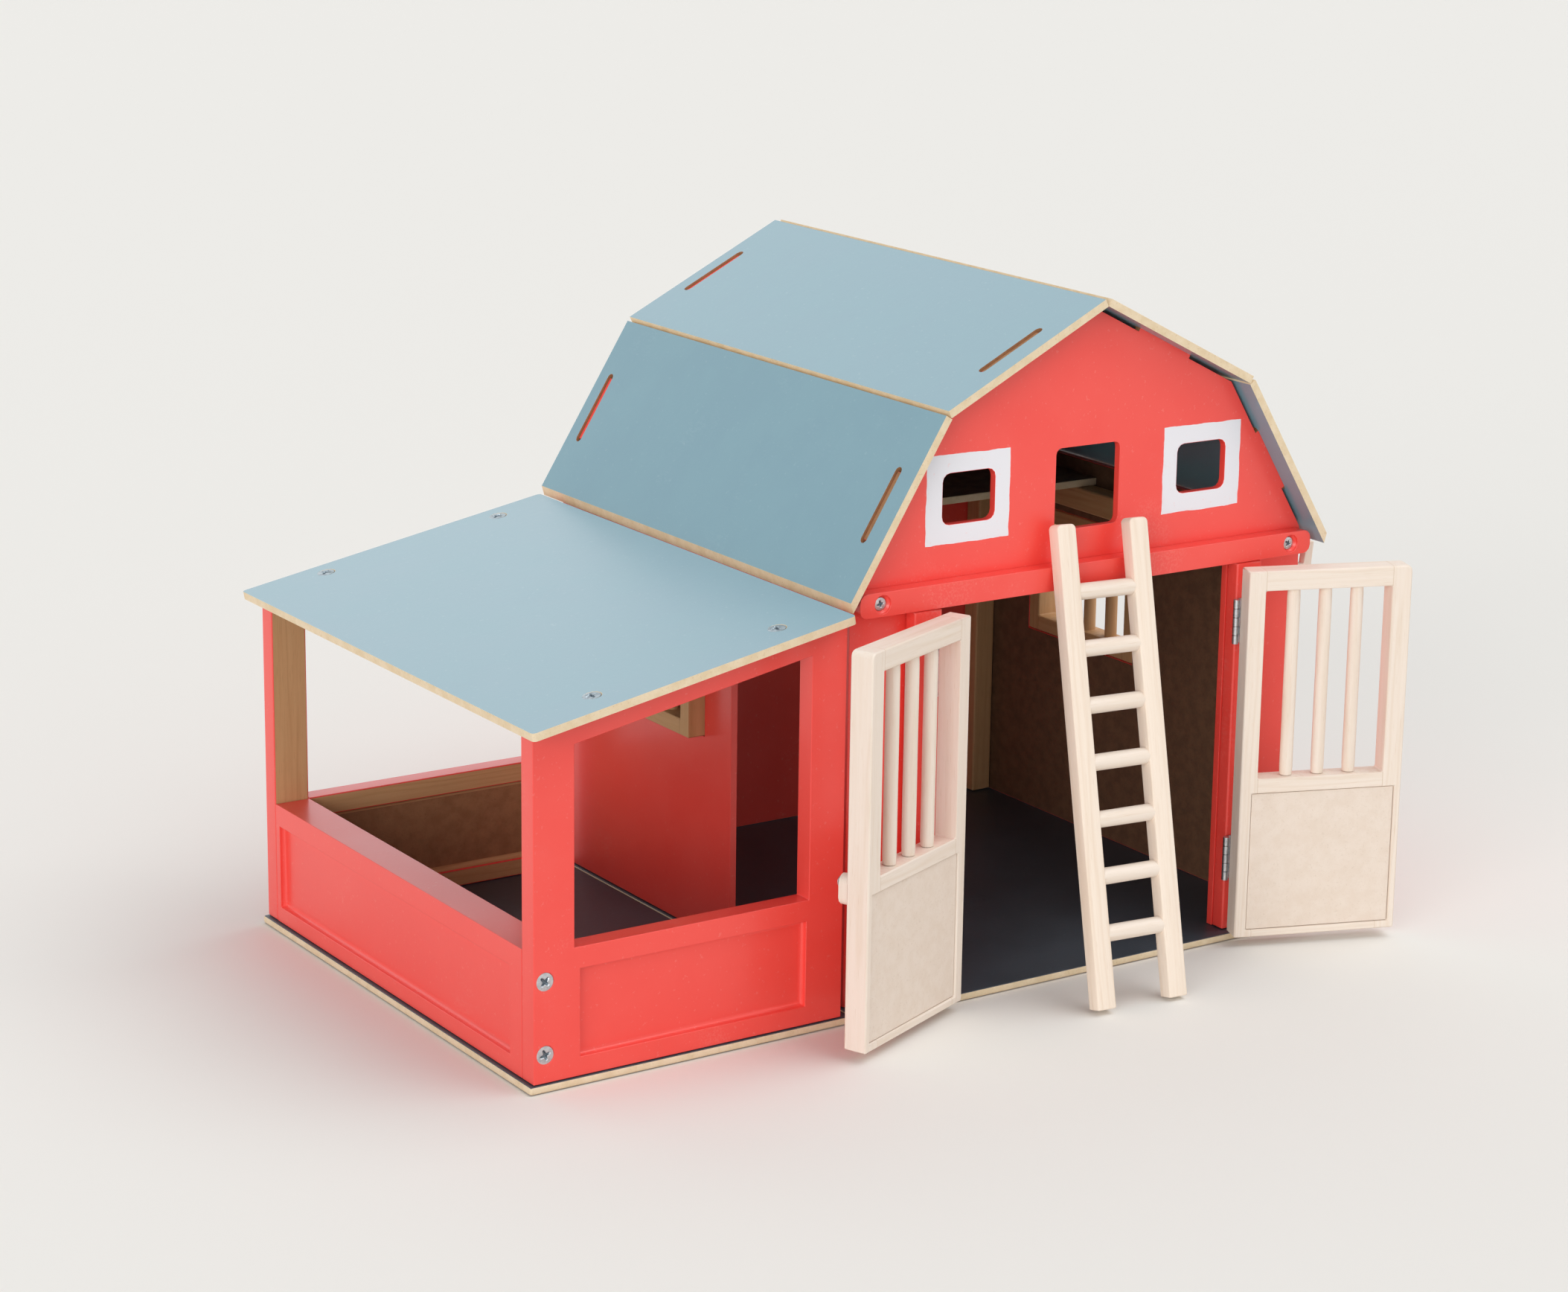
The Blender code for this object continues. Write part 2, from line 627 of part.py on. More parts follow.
def add_side_walls():
    """Build the two side walls with their barred windows and the doorway into the stall."""
    top = roof_height_inside(BARN_HALF_WIDTH, SEAT_GAP)
    doorway_front = INSIDE_FRONT + POST + SEAT_GAP
    window_rear = WINDOW_FRONT + WINDOW_LENGTH
    window_top = WINDOW_SILL + WINDOW_HEIGHT
    hole = rectangle(WINDOW_FRONT - SEAT_GAP, window_rear + SEAT_GAP, WINDOW_SILL - SEAT_GAP,
                     window_top + SEAT_GAP)
    frame_loops = [
        rectangle(WINDOW_FRONT, window_rear, WINDOW_SILL, window_top),
        rectangle(WINDOW_FRONT + WINDOW_MEMBER, window_rear - WINDOW_MEMBER,
                  WINDOW_SILL + WINDOW_MEMBER, window_top - WINDOW_MEMBER),
    ]
    left_edge = [
        (INSIDE_FRONT, ON_FLOOR), (doorway_front, ON_FLOOR), (doorway_front, SIDE_DOORWAY_HEIGHT),
        (SIDE_DOORWAY_REAR, SIDE_DOORWAY_HEIGHT), (SIDE_DOORWAY_REAR, ON_FLOOR), (INSIDE_REAR, ON_FLOOR),
        (INSIDE_REAR, top), (INSIDE_FRONT, top),
    ]
    right_edge = rectangle(INSIDE_FRONT, INSIDE_REAR, ON_FLOOR, top)
    bar_length = WINDOW_HEIGHT - WINDOW_MEMBER
    bar_pitch = (WINDOW_LENGTH - 2 * WINDOW_MEMBER) / (BAR_COUNT + 1)
    for name, side, edge in (("left", -1, left_edge), ("right", 1, right_edge)):
        add_plate(name + "_wall", [edge, hole], BOARD, FACING_SIDE,
                  (side * (BARN_HALF_WIDTH - BOARD / 2), 0, 0), "barn_red")
        middle = side * (INSIDE_HALF_WIDTH + WINDOW_DEPTH / 2)
        window = add_plate(name + "_window", frame_loops, WINDOW_DEPTH, FACING_SIDE, (middle, 0, 0),
                           "pale_wood")
        soften(window)
        for index in range(BAR_COUNT):
            y = WINDOW_FRONT + WINDOW_MEMBER + bar_pitch * (index + 1)
            bar = add_cutter(name + "_window_bar_" + str(index + 1), rod_mesh("bar", BAR_RADIUS, bar_length),
                             upright((middle, y, WINDOW_SILL + WINDOW_HEIGHT / 2)))
            combine(window, bar, "UNION")


def add_frame_timbers():
    """Build the corner posts, the loft rails and the loft floor."""
    outer = INSIDE_HALF_WIDTH - SEAT_GAP
    inner = outer - POST
    post_top = LOFT_RAIL_TOP
    for side_name, side in (("left", -1), ("right", 1)):
        low_x = min(side * inner, side * outer)
        high_x = max(side * inner, side * outer)
        for end_name, front in (("front", INSIDE_FRONT), ("rear", INSIDE_REAR - POST)):
            add_box(side_name + "_" + end_name + "_post", (low_x, front, ON_FLOOR),
                    (high_x, front + POST, post_top), "post_wood")
        add_box(side_name + "_loft_rail", (low_x, INSIDE_FRONT + POST + SEAT_GAP, LOFT_RAIL_BOTTOM),
                (high_x, INSIDE_REAR - POST - SEAT_GAP, LOFT_RAIL_TOP), "post_wood")
    add_box("loft_floor", (-outer, LOFT_FRONT, LOFT_BOTTOM), (outer, INSIDE_REAR, LOFT_BOTTOM + BOARD),
            "brown_board", edge=0)


def add_eave_brackets():
    """Build the two small brackets that carry the lower roof along the right wall."""
    wall = BARN_HALF_WIDTH + SEAT_GAP
    reach = wall + BRACKET_REACH
    foot_top = BRACKET_FOOT_BOTTOM + BRACKET_FOOT_HEIGHT
    lean = (BRACKET_TOP - BRACKET_FOOT_BOTTOM) * tan(BRACKET_LEAN)
    loop = [
        (wall, BRACKET_FOOT_BOTTOM), (reach, BRACKET_FOOT_BOTTOM), (reach + lean, BRACKET_TOP),
        (reach + lean - BRACKET_LIP, BRACKET_TOP), (reach - BRACKET_LIP, foot_top), (wall, foot_top),
    ]
    front = FRONT_WALL_SETBACK + BRACKET_INSET + BRACKET_BOARD / 2
    rear = REAR_WALL_BACK - BRACKET_INSET - BRACKET_BOARD / 2
    for name, y in (("front_eave_bracket", front), ("rear_eave_bracket", rear)):
        add_plate(name, [loop], BRACKET_BOARD, FACING_FRONT, (0, y, 0), "pale_wood")


def add_roof_panel(name, side, start, length, slope, way_out, tab_middle):
    """Build one roof panel with the two round-ended slots that its gable tabs fill."""
    axes = Matrix((
        (cos(slope), 0, side * sin(slope)),
        (0, 1, 0),
        (-side * sin(slope), 0, cos(slope)),
    ))
    along = sorted((0, side * length))
    loops = [rectangle(along[0], along[1], ROOF_FRONT, ROOF_REAR)]
    half_slot = SLOT_LENGTH / 2
    half_board = BOARD / 2 + SEAT_GAP
    for y in (FRONT_WALL_SETBACK + BOARD / 2, REAR_WALL_BACK - BOARD / 2):
        centre = side * tab_middle
        loops.append(rounded_rectangle(centre - half_slot, centre + half_slot, y - half_board,
                                       y + half_board, half_board * ROUND_END_SHARE))
    middle = start - way_out * BOARD / 2
    return add_plate(name, loops, BOARD, axes, (side * middle.x, 0, middle.y), "roof_blue")


def add_roof():
    """Build the four panels of the gambrel roof."""
    ridge = Vector((RIDGE_X, RIDGE_Z))
    lower_start = KNEE + LOWER_WAY * KNEE_JOINT_STEP
    for name, side in (("left", -1), ("right", 1)):
        add_roof_panel(name + "_upper_roof", side, ridge, UPPER_ROOF_LENGTH, UPPER_SLOPE, UPPER_OUT,
                       UPPER_ROOF_LENGTH - UPPER_TAB_MIDDLE)
        add_roof_panel(name + "_lower_roof", side, lower_start, LOWER_ROOF_LENGTH - KNEE_JOINT_STEP,
                       LOWER_SLOPE, LOWER_OUT, LOWER_TAB_MIDDLE - KNEE_JOINT_STEP)


def leaf_loop(sign, knuckles, root, reach):
    """Return a hinge leaf's comb outline: a strip with a tongue to each of its own knuckles."""
    pitch = HINGE_HEIGHT / KNUCKLE_COUNT
    inner = BARREL_RADIUS + SEAT_GAP
    points = [(sign * reach, -HINGE_HEIGHT / 2), (sign * reach, HINGE_HEIGHT / 2)]
    bottom = -HINGE_HEIGHT / 2
    for index in reversed(range(KNUCKLE_COUNT)):
        low = bottom + index * pitch
        high = low + pitch
        if index not in knuckles:
            points.append((sign * inner, high))
            points.append((sign * inner, low))
            continue
        points.append((sign * inner, high))
        points.append((sign * inner, high - KNUCKLE_GAP))
        points.append((sign * root, high - KNUCKLE_GAP))
        points.append((sign * root, low + KNUCKLE_GAP))
        points.append((sign * inner, low + KNUCKLE_GAP))
        points.append((sign * inner, low))
    clean = []
    for point in points:
        if not clean or (Vector(point) - Vector(clean[-1])).length > SEAT_GAP / 10:
            clean.append(point)
    return clean


def add_leaf(name, sign, knuckles, pinned, place, parent):
    """Build one hinge leaf with its knuckles, and the pin if the leaf carries it."""
    pitch = HINGE_HEIGHT / KNUCKLE_COUNT
    bore = PIN_RADIUS + PIN_PLAY
    root = (bore + BARREL_RADIUS) / 2
    leaf_middle = AXIS_TO_FACE - SEAT_GAP - LEAF_THICKNESS / 2
    loop = leaf_loop(sign, knuckles, root, LEAF_WIDTH)
    x, y, z = place
    leaf = add_plate(name, [loop], LEAF_THICKNESS, FACING_FRONT, (x, y + leaf_middle, z), "zinc_steel", parent)
    for index in knuckles:
        low = -HINGE_HEIGHT / 2 + index * pitch + (KNUCKLE_GAP / 2 if index > 0 else 0)
        high = -HINGE_HEIGHT / 2 + (index + 1) * pitch - (KNUCKLE_GAP / 2 if index < KNUCKLE_COUNT - 1 else 0)
        knuckle = add_cutter(name + "_knuckle_" + str(index), rod_mesh("knuckle", BARREL_RADIUS, high - low),
                             upright((x, y, z + (low + high) / 2)), parent)
        combine(leaf, knuckle, "UNION")
    if pinned:
        pin = add_cutter(name + "_pin", rod_mesh("pin", PIN_RADIUS, HINGE_HEIGHT - 2 * KNUCKLE_GAP),
                         upright(place), parent)
        combine(leaf, pin, "UNION")
        return leaf
    hole = add_cutter(name + "_bore", rod_mesh("bore", bore, HINGE_HEIGHT + 2 * CUT_OVERRUN),
                      upright(place), parent)
    combine(leaf, hole)
    return leaf


def add_door(name, side, opened):
    """Build one door on an empty that stands on its hinge axis, turned to its open position."""
    axis = new_empty(name + "_axis", (side * AXIS_X, AXIS_Y, 0), side * opened)
    inward = -side
    near = AXIS_TO_EDGE
    middle_y = AXIS_TO_FACE + DOOR_THICKNESS / 2
    opening_bottom = DOOR_MID_RAIL_TOP
    opening_top = DOOR_TOP - DOOR_TOP_RAIL
    panel_bottom = DOOR_BOTTOM + DOOR_PANEL_BOTTOM_MARGIN

    def span(first, second, bottom, top):
        ends = sorted((inward * (near + first), inward * (near + second)))
        return rectangle(ends[0], ends[1], bottom, top)

    opening_far = DOOR_WIDTH - DOOR_FREE_STILE
    panel_far = DOOR_WIDTH - DOOR_PANEL_FREE_MARGIN
    outline = span(0, DOOR_WIDTH, DOOR_BOTTOM, DOOR_TOP)
    radii = [0, 0, DOOR_CORNER_RADIUS, 0] if inward > 0 else [0, 0, 0, DOOR_CORNER_RADIUS]
    frame = add_plate(name + "_frame", [
        rounded(outline, radii),
        span(DOOR_HINGE_STILE, opening_far, opening_bottom, opening_top),
        span(DOOR_PANEL_HINGE_MARGIN, panel_far, panel_bottom, DOOR_MID_RAIL_BOTTOM),
    ], DOOR_THICKNESS, FACING_FRONT, (0, middle_y, 0), "pale_wood", axis)
    soften(frame)
    add_plate(name + "_panel", [
        span(DOOR_PANEL_HINGE_MARGIN + SEAT_GAP, panel_far - SEAT_GAP, panel_bottom + SEAT_GAP,
             DOOR_MID_RAIL_BOTTOM - SEAT_GAP),
    ], DOOR_THICKNESS - 2 * DOOR_PANEL_RECESS, FACING_FRONT, (0, middle_y, 0), "panel_board", axis)
    pitch = (opening_far - DOOR_HINGE_STILE) / (BAR_COUNT + 1)
    for index in range(BAR_COUNT):
        x = inward * (near + DOOR_HINGE_STILE + pitch * (index + 1))
        add_piece(name + "_bar_" + str(index + 1),
                  rod_mesh("bar", BAR_RADIUS, opening_top - opening_bottom - 2 * SEAT_GAP),
                  "pale_wood", upright((x, middle_y, (opening_bottom + opening_top) / 2)), axis)
    for level, z in (("upper", HINGE_UPPER_Z), ("lower", HINGE_LOWER_Z)):
        add_leaf(name + "_" + level + "_jamb_leaf", side, (0, 2, 4), True, (side * AXIS_X, AXIS_Y, z), ROOT)
        add_leaf(name + "_" + level + "_door_leaf", inward, (1, 3), False, (0, 0, z), axis)
    return axis, frame


def add_latch(axis, frame):
    """Build the turn-button and its screw on the outer face of the left door."""
    x = AXIS_TO_EDGE + DOOR_WIDTH - LATCH_EDGE_SETBACK
    z = LATCH_TOP - LATCH_WIDTH / 2
    face = AXIS_TO_FACE
    far = LATCH_LENGTH - LATCH_WIDTH / 2
    half = LATCH_WIDTH / 2
    pivot = bpy.data.objects.new("latch_axis", None)
    pivot.parent = axis
    pivot.location = (x, face, z)
    BARN.objects.link(pivot)
    loop = rounded(rectangle(-half, half, -far, half), [half * ROUND_END_SHARE] * 4)
    middle = -SEAT_GAP - LATCH_THICKNESS / 2
    latch = add_plate("door_latch", [loop], LATCH_THICKNESS, FACING_FRONT, (0, middle, 0), "pale_wood", pivot)
    hole = add_cutter("latch_hole", rod_mesh("latch_hole", LATCH_SCREW_RADIUS + LATCH_PLAY,
                                             LATCH_THICKNESS + 2 * CUT_OVERRUN),
                      along_y((0, middle, 0)), pivot)
    combine(latch, hole)
    out = SEAT_GAP + LATCH_THICKNESS + SEAT_GAP
    profile = [
        (0, out + LATCH_HEAD_THICKNESS),
        (LATCH_HEAD_RADIUS, out + LATCH_HEAD_THICKNESS),
        (LATCH_HEAD_RADIUS, out),
        (LATCH_SCREW_RADIUS, out),
        (LATCH_SCREW_RADIUS, -LATCH_SCREW_DEPTH),
        (0, -LATCH_SCREW_DEPTH),
    ]
    lying = Matrix.Translation((x, face, z)) @ Matrix.Rotation(pi / 2, 4, "X")
    add_piece("latch_screw", turned_mesh("latch_screw", profile), "zinc_steel", lying, axis)
    depth = LATCH_SCREW_DEPTH + SEAT_GAP
    socket = add_cutter("latch_socket", rod_mesh("latch_socket", LATCH_SCREW_RADIUS + SEAT_GAP,
                                                 depth + CUT_OVERRUN),
                        along_y((x, face + (depth - CUT_OVERRUN) / 2, z)), axis)
    combine(frame, socket)


def add_ladder():
    """Build the ladder that leans on the front beam, on an empty at its foot."""
    axis = new_empty("ladder_foot", (LADDER_FOOT_X, 0, 0))
    turn = Matrix.Rotation(-LADDER_TURN, 4, "Z") @ Matrix.Rotation(-LADDER_LEAN, 4, "X")
    turn = turn @ Matrix.Rotation(LADDER_TILT, 4, "Y")
    half = LADDER_WIDTH / 2
    lift = 0
    for x in (-half, half):
        for y in (-LADDER_RAIL_DEPTH / 2, LADDER_RAIL_DEPTH / 2):
            lift = max(lift, -(turn @ Vector((x, y, 0))).z)
    edge = turn @ Vector((-half, LADDER_RAIL_DEPTH / 2, 0))
    way = turn @ Vector((0, 0, 1))
    run = (BEAM_TOP - lift - edge.z) / way.z
    foot_y = BATTEN_FRONT - SEAT_GAP - edge.y - run * way.y
    axis.matrix_local = Matrix.Translation((LADDER_FOOT_X, foot_y, lift)) @ turn
    rail_middle = half - LADDER_RAIL_WIDTH / 2
    corner = LADDER_CORNER_RADIUS
    rail = rounded(rectangle(-LADDER_RAIL_WIDTH / 2, LADDER_RAIL_WIDTH / 2, 0, LADDER_LENGTH),
                   [0, 0, corner, corner])
    ladder = add_plate("ladder", [rail], LADDER_RAIL_DEPTH, FACING_FRONT, (-rail_middle, 0, 0), "pale_wood",
                       axis)
    other = add_cutter("ladder_right_rail", plate_mesh("ladder_right_rail", [rail], LADDER_RAIL_DEPTH),
                       place_plate(FACING_FRONT, (rail_middle, 0, 0)), axis)
    combine(ladder, other, "UNION")
    for index in range(RUNG_COUNT):
        height = FIRST_RUNG + RUNG_PITCH * index
        lying = upright((0, 0, height)) @ Matrix.Rotation(pi / 2, 4, "Y")
        rung = add_cutter("ladder_rung_" + str(index + 1), rod_mesh("rung", RUNG_RADIUS, 2 * rail_middle),
                          lying, axis)
        combine(ladder, rung, "UNION")
    soften(ladder)


def stall_roof_underside(x, clearance):
    """Return the height of the lean-to roof's underside at x, less a clearance square to it."""
    top = STALL_EAVE_Z + (x - STALL_EAVE_X) * tan(STALL_ROOF_SLOPE)
    return top - (BOARD + clearance) / cos(STALL_ROOF_SLOPE)


def add_stall_end(name, y, left_stile):
    """Build a front or rear wall of the stall: a frame with an open upper part and a sunk lower panel."""
    def under_roof(x, drop=0.0):
        return stall_roof_underside(x, SEAT_GAP) - drop

    left = STALL_LEFT + left_stile
    right = STALL_RIGHT - STALL_RIGHT_STILE
    recess_left = STALL_LEFT + RECESS_LEFT_MARGIN
    recess_right = STALL_RIGHT - RECESS_RIGHT_MARGIN
    loops = [
        [(STALL_LEFT, ON_FLOOR), (STALL_RIGHT, ON_FLOOR), (STALL_RIGHT, under_roof(STALL_RIGHT)),
         (STALL_LEFT, under_roof(STALL_LEFT))],
        [(left, SILL_HEIGHT), (right, SILL_HEIGHT), (right, under_roof(right, STALL_TOP_RAIL)),
         (left, under_roof(left, STALL_TOP_RAIL))],
        rectangle(recess_left, recess_right, RECESS_BOTTOM, RECESS_TOP),
    ]
    frame = add_plate(name + "_frame", loops, STALL_WALL, FACING_FRONT, (0, y, 0), "barn_red")
    panel = rectangle(recess_left + SEAT_GAP, recess_right - SEAT_GAP, RECESS_BOTTOM + SEAT_GAP,
                      RECESS_TOP - SEAT_GAP)
    add_plate(name + "_panel", [panel], BOARD, FACING_FRONT, (0, y, 0), "barn_red")
    return frame


def add_stall():
    """Build the lean-to stall on the left of the barn."""
    add_box("stall_floor", (STALL_LEFT - STALL_FLOOR_LIP, -STALL_FLOOR_FRONT_LIP, 0),
            (-FLOOR_HALF_WIDTH - SEAT_GAP, STALL_DEPTH + STALL_FLOOR_REAR_LIP, BOARD), "floor_navy", edge=0)
    front = add_stall_end("stall_front", STALL_WALL / 2, STALL_LEFT_STILE)
    rear = add_stall_end("stall_rear", STALL_DEPTH - STALL_WALL / 2, STALL_REAR_LEFT_STILE)
    side_front = STALL_WALL + SEAT_GAP
    side_rear = STALL_DEPTH - STALL_WALL - SEAT_GAP
    recess_front = side_front + SIDE_RECESS_FRONT_MARGIN
    recess_rear = side_rear - SIDE_RECESS_REAR_MARGIN
    middle = STALL_LEFT + SIDE_WALL_THICKNESS / 2
    side = add_plate("stall_side_frame", [
        rectangle(side_front, side_rear, ON_FLOOR, SIDE_WALL_TOP),
        rectangle(recess_front, recess_rear, SIDE_RECESS_BOTTOM, SIDE_RECESS_TOP),
    ], SIDE_WALL_THICKNESS, FACING_SIDE, (middle, 0, 0), "barn_red")
    add_plate("stall_side_panel", [
        rectangle(recess_front + SEAT_GAP, recess_rear - SEAT_GAP, SIDE_RECESS_BOTTOM + SEAT_GAP,
                  SIDE_RECESS_TOP - SEAT_GAP),
    ], SIDE_WALL_THICKNESS - 2 * SIDE_RECESS_DEPTH, FACING_SIDE, (middle, 0, 0), "barn_red")
    slope = Matrix.Rotation(-STALL_ROOF_SLOPE, 3, "Y")
    out = slope @ Vector((0, 0, 1))
    eave = Vector((STALL_EAVE_X, 0, STALL_EAVE_Z))
    corner = STALL_ROOF_CORNER_RADIUS
    outline = rounded(rectangle(0, STALL_ROOF_LENGTH, -STALL_ROOF_FRONT_OVERHANG,
                                STALL_DEPTH + STALL_ROOF_REAR_OVERHANG), [corner] * 4)
    roof = add_plate("stall_roof", [outline], BOARD, slope, eave - out * BOARD / 2, "roof_blue")
    frames = []
    targets = []
    for x in (ROOF_SCREW_X_LEFT, ROOF_SCREW_X_RIGHT):
        for y, wall in ((ROOF_SCREW_INSET, front), (STALL_DEPTH - STALL_WALL + ROOF_SCREW_INSET, rear)):
            z = STALL_EAVE_Z + (x - STALL_EAVE_X) * tan(STALL_ROOF_SLOPE)
            frames.append(Matrix.Translation((x, y, z)) @ slope.to_4x4())
            targets.append((roof, wall))
    add_screws("roof_screw", frames, targets)
    frames = []
    targets = []
    for z in (WALL_SCREW_UPPER_Z, WALL_SCREW_LOWER_Z):
        x = STALL_LEFT + WALL_SCREW_INSET
        frames.append(Matrix.Translation((x, 0, z)) @ Matrix.Rotation(pi / 2, 4, "X"))
        targets.append((front, side))
    add_screws("wall_screw", frames, targets)


def settle_origin():
    """Move the toy so that the centre of its bounding box stands on the origin."""
    bpy.context.view_layer.update()
    graph = bpy.context.evaluated_depsgraph_get()
    corners = []
    for piece in BARN.objects:
        if piece.type == "MESH":
            seen = piece.evaluated_get(graph)
            corners.extend(seen.matrix_world @ Vector(vertex.co) for vertex in seen.data.vertices)
    low = [min(corner[axis] for corner in corners) for axis in range(3)]
    high = [max(corner[axis] for corner in corners) for axis in range(3)]
    ROOT.location = (-(low[0] + high[0]) / 2, -(low[1] + high[1]) / 2, -low[2])
    bpy.context.view_layer.update()


add_main_barn()
add_side_walls()
add_frame_timbers()
add_eave_brackets()
add_roof()
LEFT_AXIS, LEFT_FRAME = add_door("left_door", -1, LEFT_DOOR_OPEN)
add_door("right_door", 1, RIGHT_DOOR_OPEN)
add_latch(LEFT_AXIS, LEFT_FRAME)
add_ladder()
add_stall()
settle_origin()
print("origin moved by", [round(value, 6) for value in ROOT.location])
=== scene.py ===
"""Dresses a wooden toy barn with a gambrel roof, two barred doors, a ladder and an open lean-to stall."""

import json
import logging
from abc import ABC, abstractmethod
from collections.abc import Callable
from dataclasses import dataclass, replace
from enum import Enum
from math import cos, pi, radians, sin
from typing import ClassVar

import bmesh
import bpy
import numpy as np
from mathutils import Matrix, Vector


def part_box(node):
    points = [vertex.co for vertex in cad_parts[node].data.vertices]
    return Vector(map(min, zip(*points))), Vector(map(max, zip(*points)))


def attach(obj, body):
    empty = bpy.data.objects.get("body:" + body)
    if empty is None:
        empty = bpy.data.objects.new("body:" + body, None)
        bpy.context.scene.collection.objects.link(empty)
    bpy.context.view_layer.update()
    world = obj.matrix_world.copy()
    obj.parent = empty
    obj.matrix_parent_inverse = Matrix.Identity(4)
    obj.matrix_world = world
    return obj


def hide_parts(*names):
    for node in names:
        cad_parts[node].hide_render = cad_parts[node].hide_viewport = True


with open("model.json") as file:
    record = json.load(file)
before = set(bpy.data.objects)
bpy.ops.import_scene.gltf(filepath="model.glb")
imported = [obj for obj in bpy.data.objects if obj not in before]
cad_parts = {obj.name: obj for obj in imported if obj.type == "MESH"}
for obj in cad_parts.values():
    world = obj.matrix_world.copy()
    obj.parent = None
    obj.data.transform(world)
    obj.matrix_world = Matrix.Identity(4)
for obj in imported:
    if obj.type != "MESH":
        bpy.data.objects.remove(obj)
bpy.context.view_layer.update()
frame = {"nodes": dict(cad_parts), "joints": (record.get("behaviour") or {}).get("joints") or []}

LOG = logging.getLogger("toy_barn")
Socket = bpy.types.NodeSocket
Material = bpy.types.Material
Feed = float | tuple[float, ...] | Socket
Point = tuple[float, float, float]
Coords = Vector | Point
Span = tuple[float, float]
Faces = list[list[int]]
Surface = tuple[np.ndarray, Faces]
Relief = Callable[[np.ndarray, np.ndarray], np.ndarray]

FRONT: Point = (0.0, -1.0, 0.0)
REAR: Point = (0.0, 1.0, 0.0)
LEFT: Point = (-1.0, 0.0, 0.0)
RIGHT: Point = (1.0, 0.0, 0.0)
UP: Point = (0.0, 0.0, 1.0)
DOWN: Point = (0.0, 0.0, -1.0)

# Where most of a noise's values lie
NOISE_MIDDLE: Span = (0.3, 0.7)
# Corners of the CAD meshes closer than this are one, and faces within this angle are one face
WELD_GAP = 0.000002
FLAT_ANGLE = radians(0.4)
# Corners of the new surfaces closer than this are one
MERGE_GAP = 1e-7
# Edges bent further than this are arrises on boards, and sharp on new surfaces
ARRIS_ANGLE = radians(40)
SHARP_ANGLE = radians(50)
# How near to the end of a solid its last corners lie
END_BAND = 0.0001
# The arrises of a board take the finish of the face beside them
AS_BESIDE = -1


def linear(code: str) -> tuple[float, float, float, float]:
    """Turn a display colour into scene values by the sRGB curve.

    Args:
        code: Six hexadecimal digits, red first.

    Returns:
        Linear red, green and blue, and an alpha of one.
    """
    shown = np.array([int(code[at:at + 2], 16) for at in (0, 2, 4)]) / 255
    light = np.where(shown <= 0.04045, shown / 12.92, ((shown + 0.055) / 1.055) ** 2.4)
    return (float(light[0]), float(light[1]), float(light[2]), 1.0)


class Sheet:
    """A node tree while its nodes are laid out."""

    def __init__(self, tree: bpy.types.NodeTree) -> None:
        """Take the tree to fill in."""
        self.tree = tree

    def node(self, kind: str, feeds: dict[str | int, Feed] | None = None,
             **options: object) -> bpy.types.Node:
        """Add a node and feed its inputs.

        Args:
            kind: The node's type without its ShaderNode prefix.
            feeds: A value or another node's output for each named or numbered input.
            options: The node's own settings.

        Returns:
            The new node.
        """
        node = self.tree.nodes.new("ShaderNode" + kind)
        for name, value in options.items():
            setattr(node, name, value)
        for key, feed in (feeds or {}).items():
            self.feed(node.inputs[key], feed)
        return node

    def feed(self, socket: Socket, feed: Feed) -> None:
        """Link an output to a socket, or set the socket's own value.

        Args:
            socket: The input to feed.
            feed: The output or the value.
        """
        if isinstance(feed, Socket):
            self.tree.links.new(feed, socket)
        else:
            socket.default_value = feed

    def math(self, operation: str, first: Feed, second: Feed = 0.0) -> Socket:
        """Work out one number from two."""
        return self.node("Math", {0: first, 1: second}, operation=operation).outputs[0]

    def plus(self, first: Feed, second: Feed) -> Socket:
        """Add two numbers."""
        return self.math("ADD", first, second)

    def minus(self, first: Feed, second: Feed) -> Socket:
        """Take the second number from the first."""
        return self.math("SUBTRACT", first, second)

    def times(self, first: Feed, second: Feed) -> Socket:
        """Multiply two numbers."""
        return self.math("MULTIPLY", first, second)

    def distance(self, first: Feed, second: Feed) -> Socket:
        """Find how far apart two numbers are."""
        return self.math("ABSOLUTE", self.minus(first, second))

    def blend(self, factor: Feed, first: Feed, second: Feed) -> Socket:
        """Go from a first colour to a second by a factor."""
        return self.node("Mix", {0: factor, 6: first, 7: second}, data_type="RGBA").outputs[2]

    def choose(self, factor: Feed, first: Feed, second: Feed) -> Socket:
        """Go from a first vector to a second by a factor."""
        return self.node("Mix", {0: factor, 4: first, 5: second}, data_type="VECTOR").outputs[1]

    def rise(self, value: Feed, start: float, end: float, low: float = 0.0, high: float = 1.0) -> Socket:
        """Go smoothly from low to high while a value goes from start to end.

        Args:
            value: The number to follow.
            start: Where the rise begins.
            end: Where it is complete.
            low: The result up to the start.
            high: The result past the end.

        Returns:
            The result's socket.
        """
        feeds = {0: value, 1: start, 2: end, 3: low, 4: high}
        return self.node("MapRange", feeds, interpolation_type="SMOOTHSTEP").outputs[0]

    def axes(self, vector: Socket) -> bpy.types.bpy_prop_collection:
        """Split a vector into its X, Y and Z."""
        return self.node("SeparateXYZ", {0: vector}).outputs


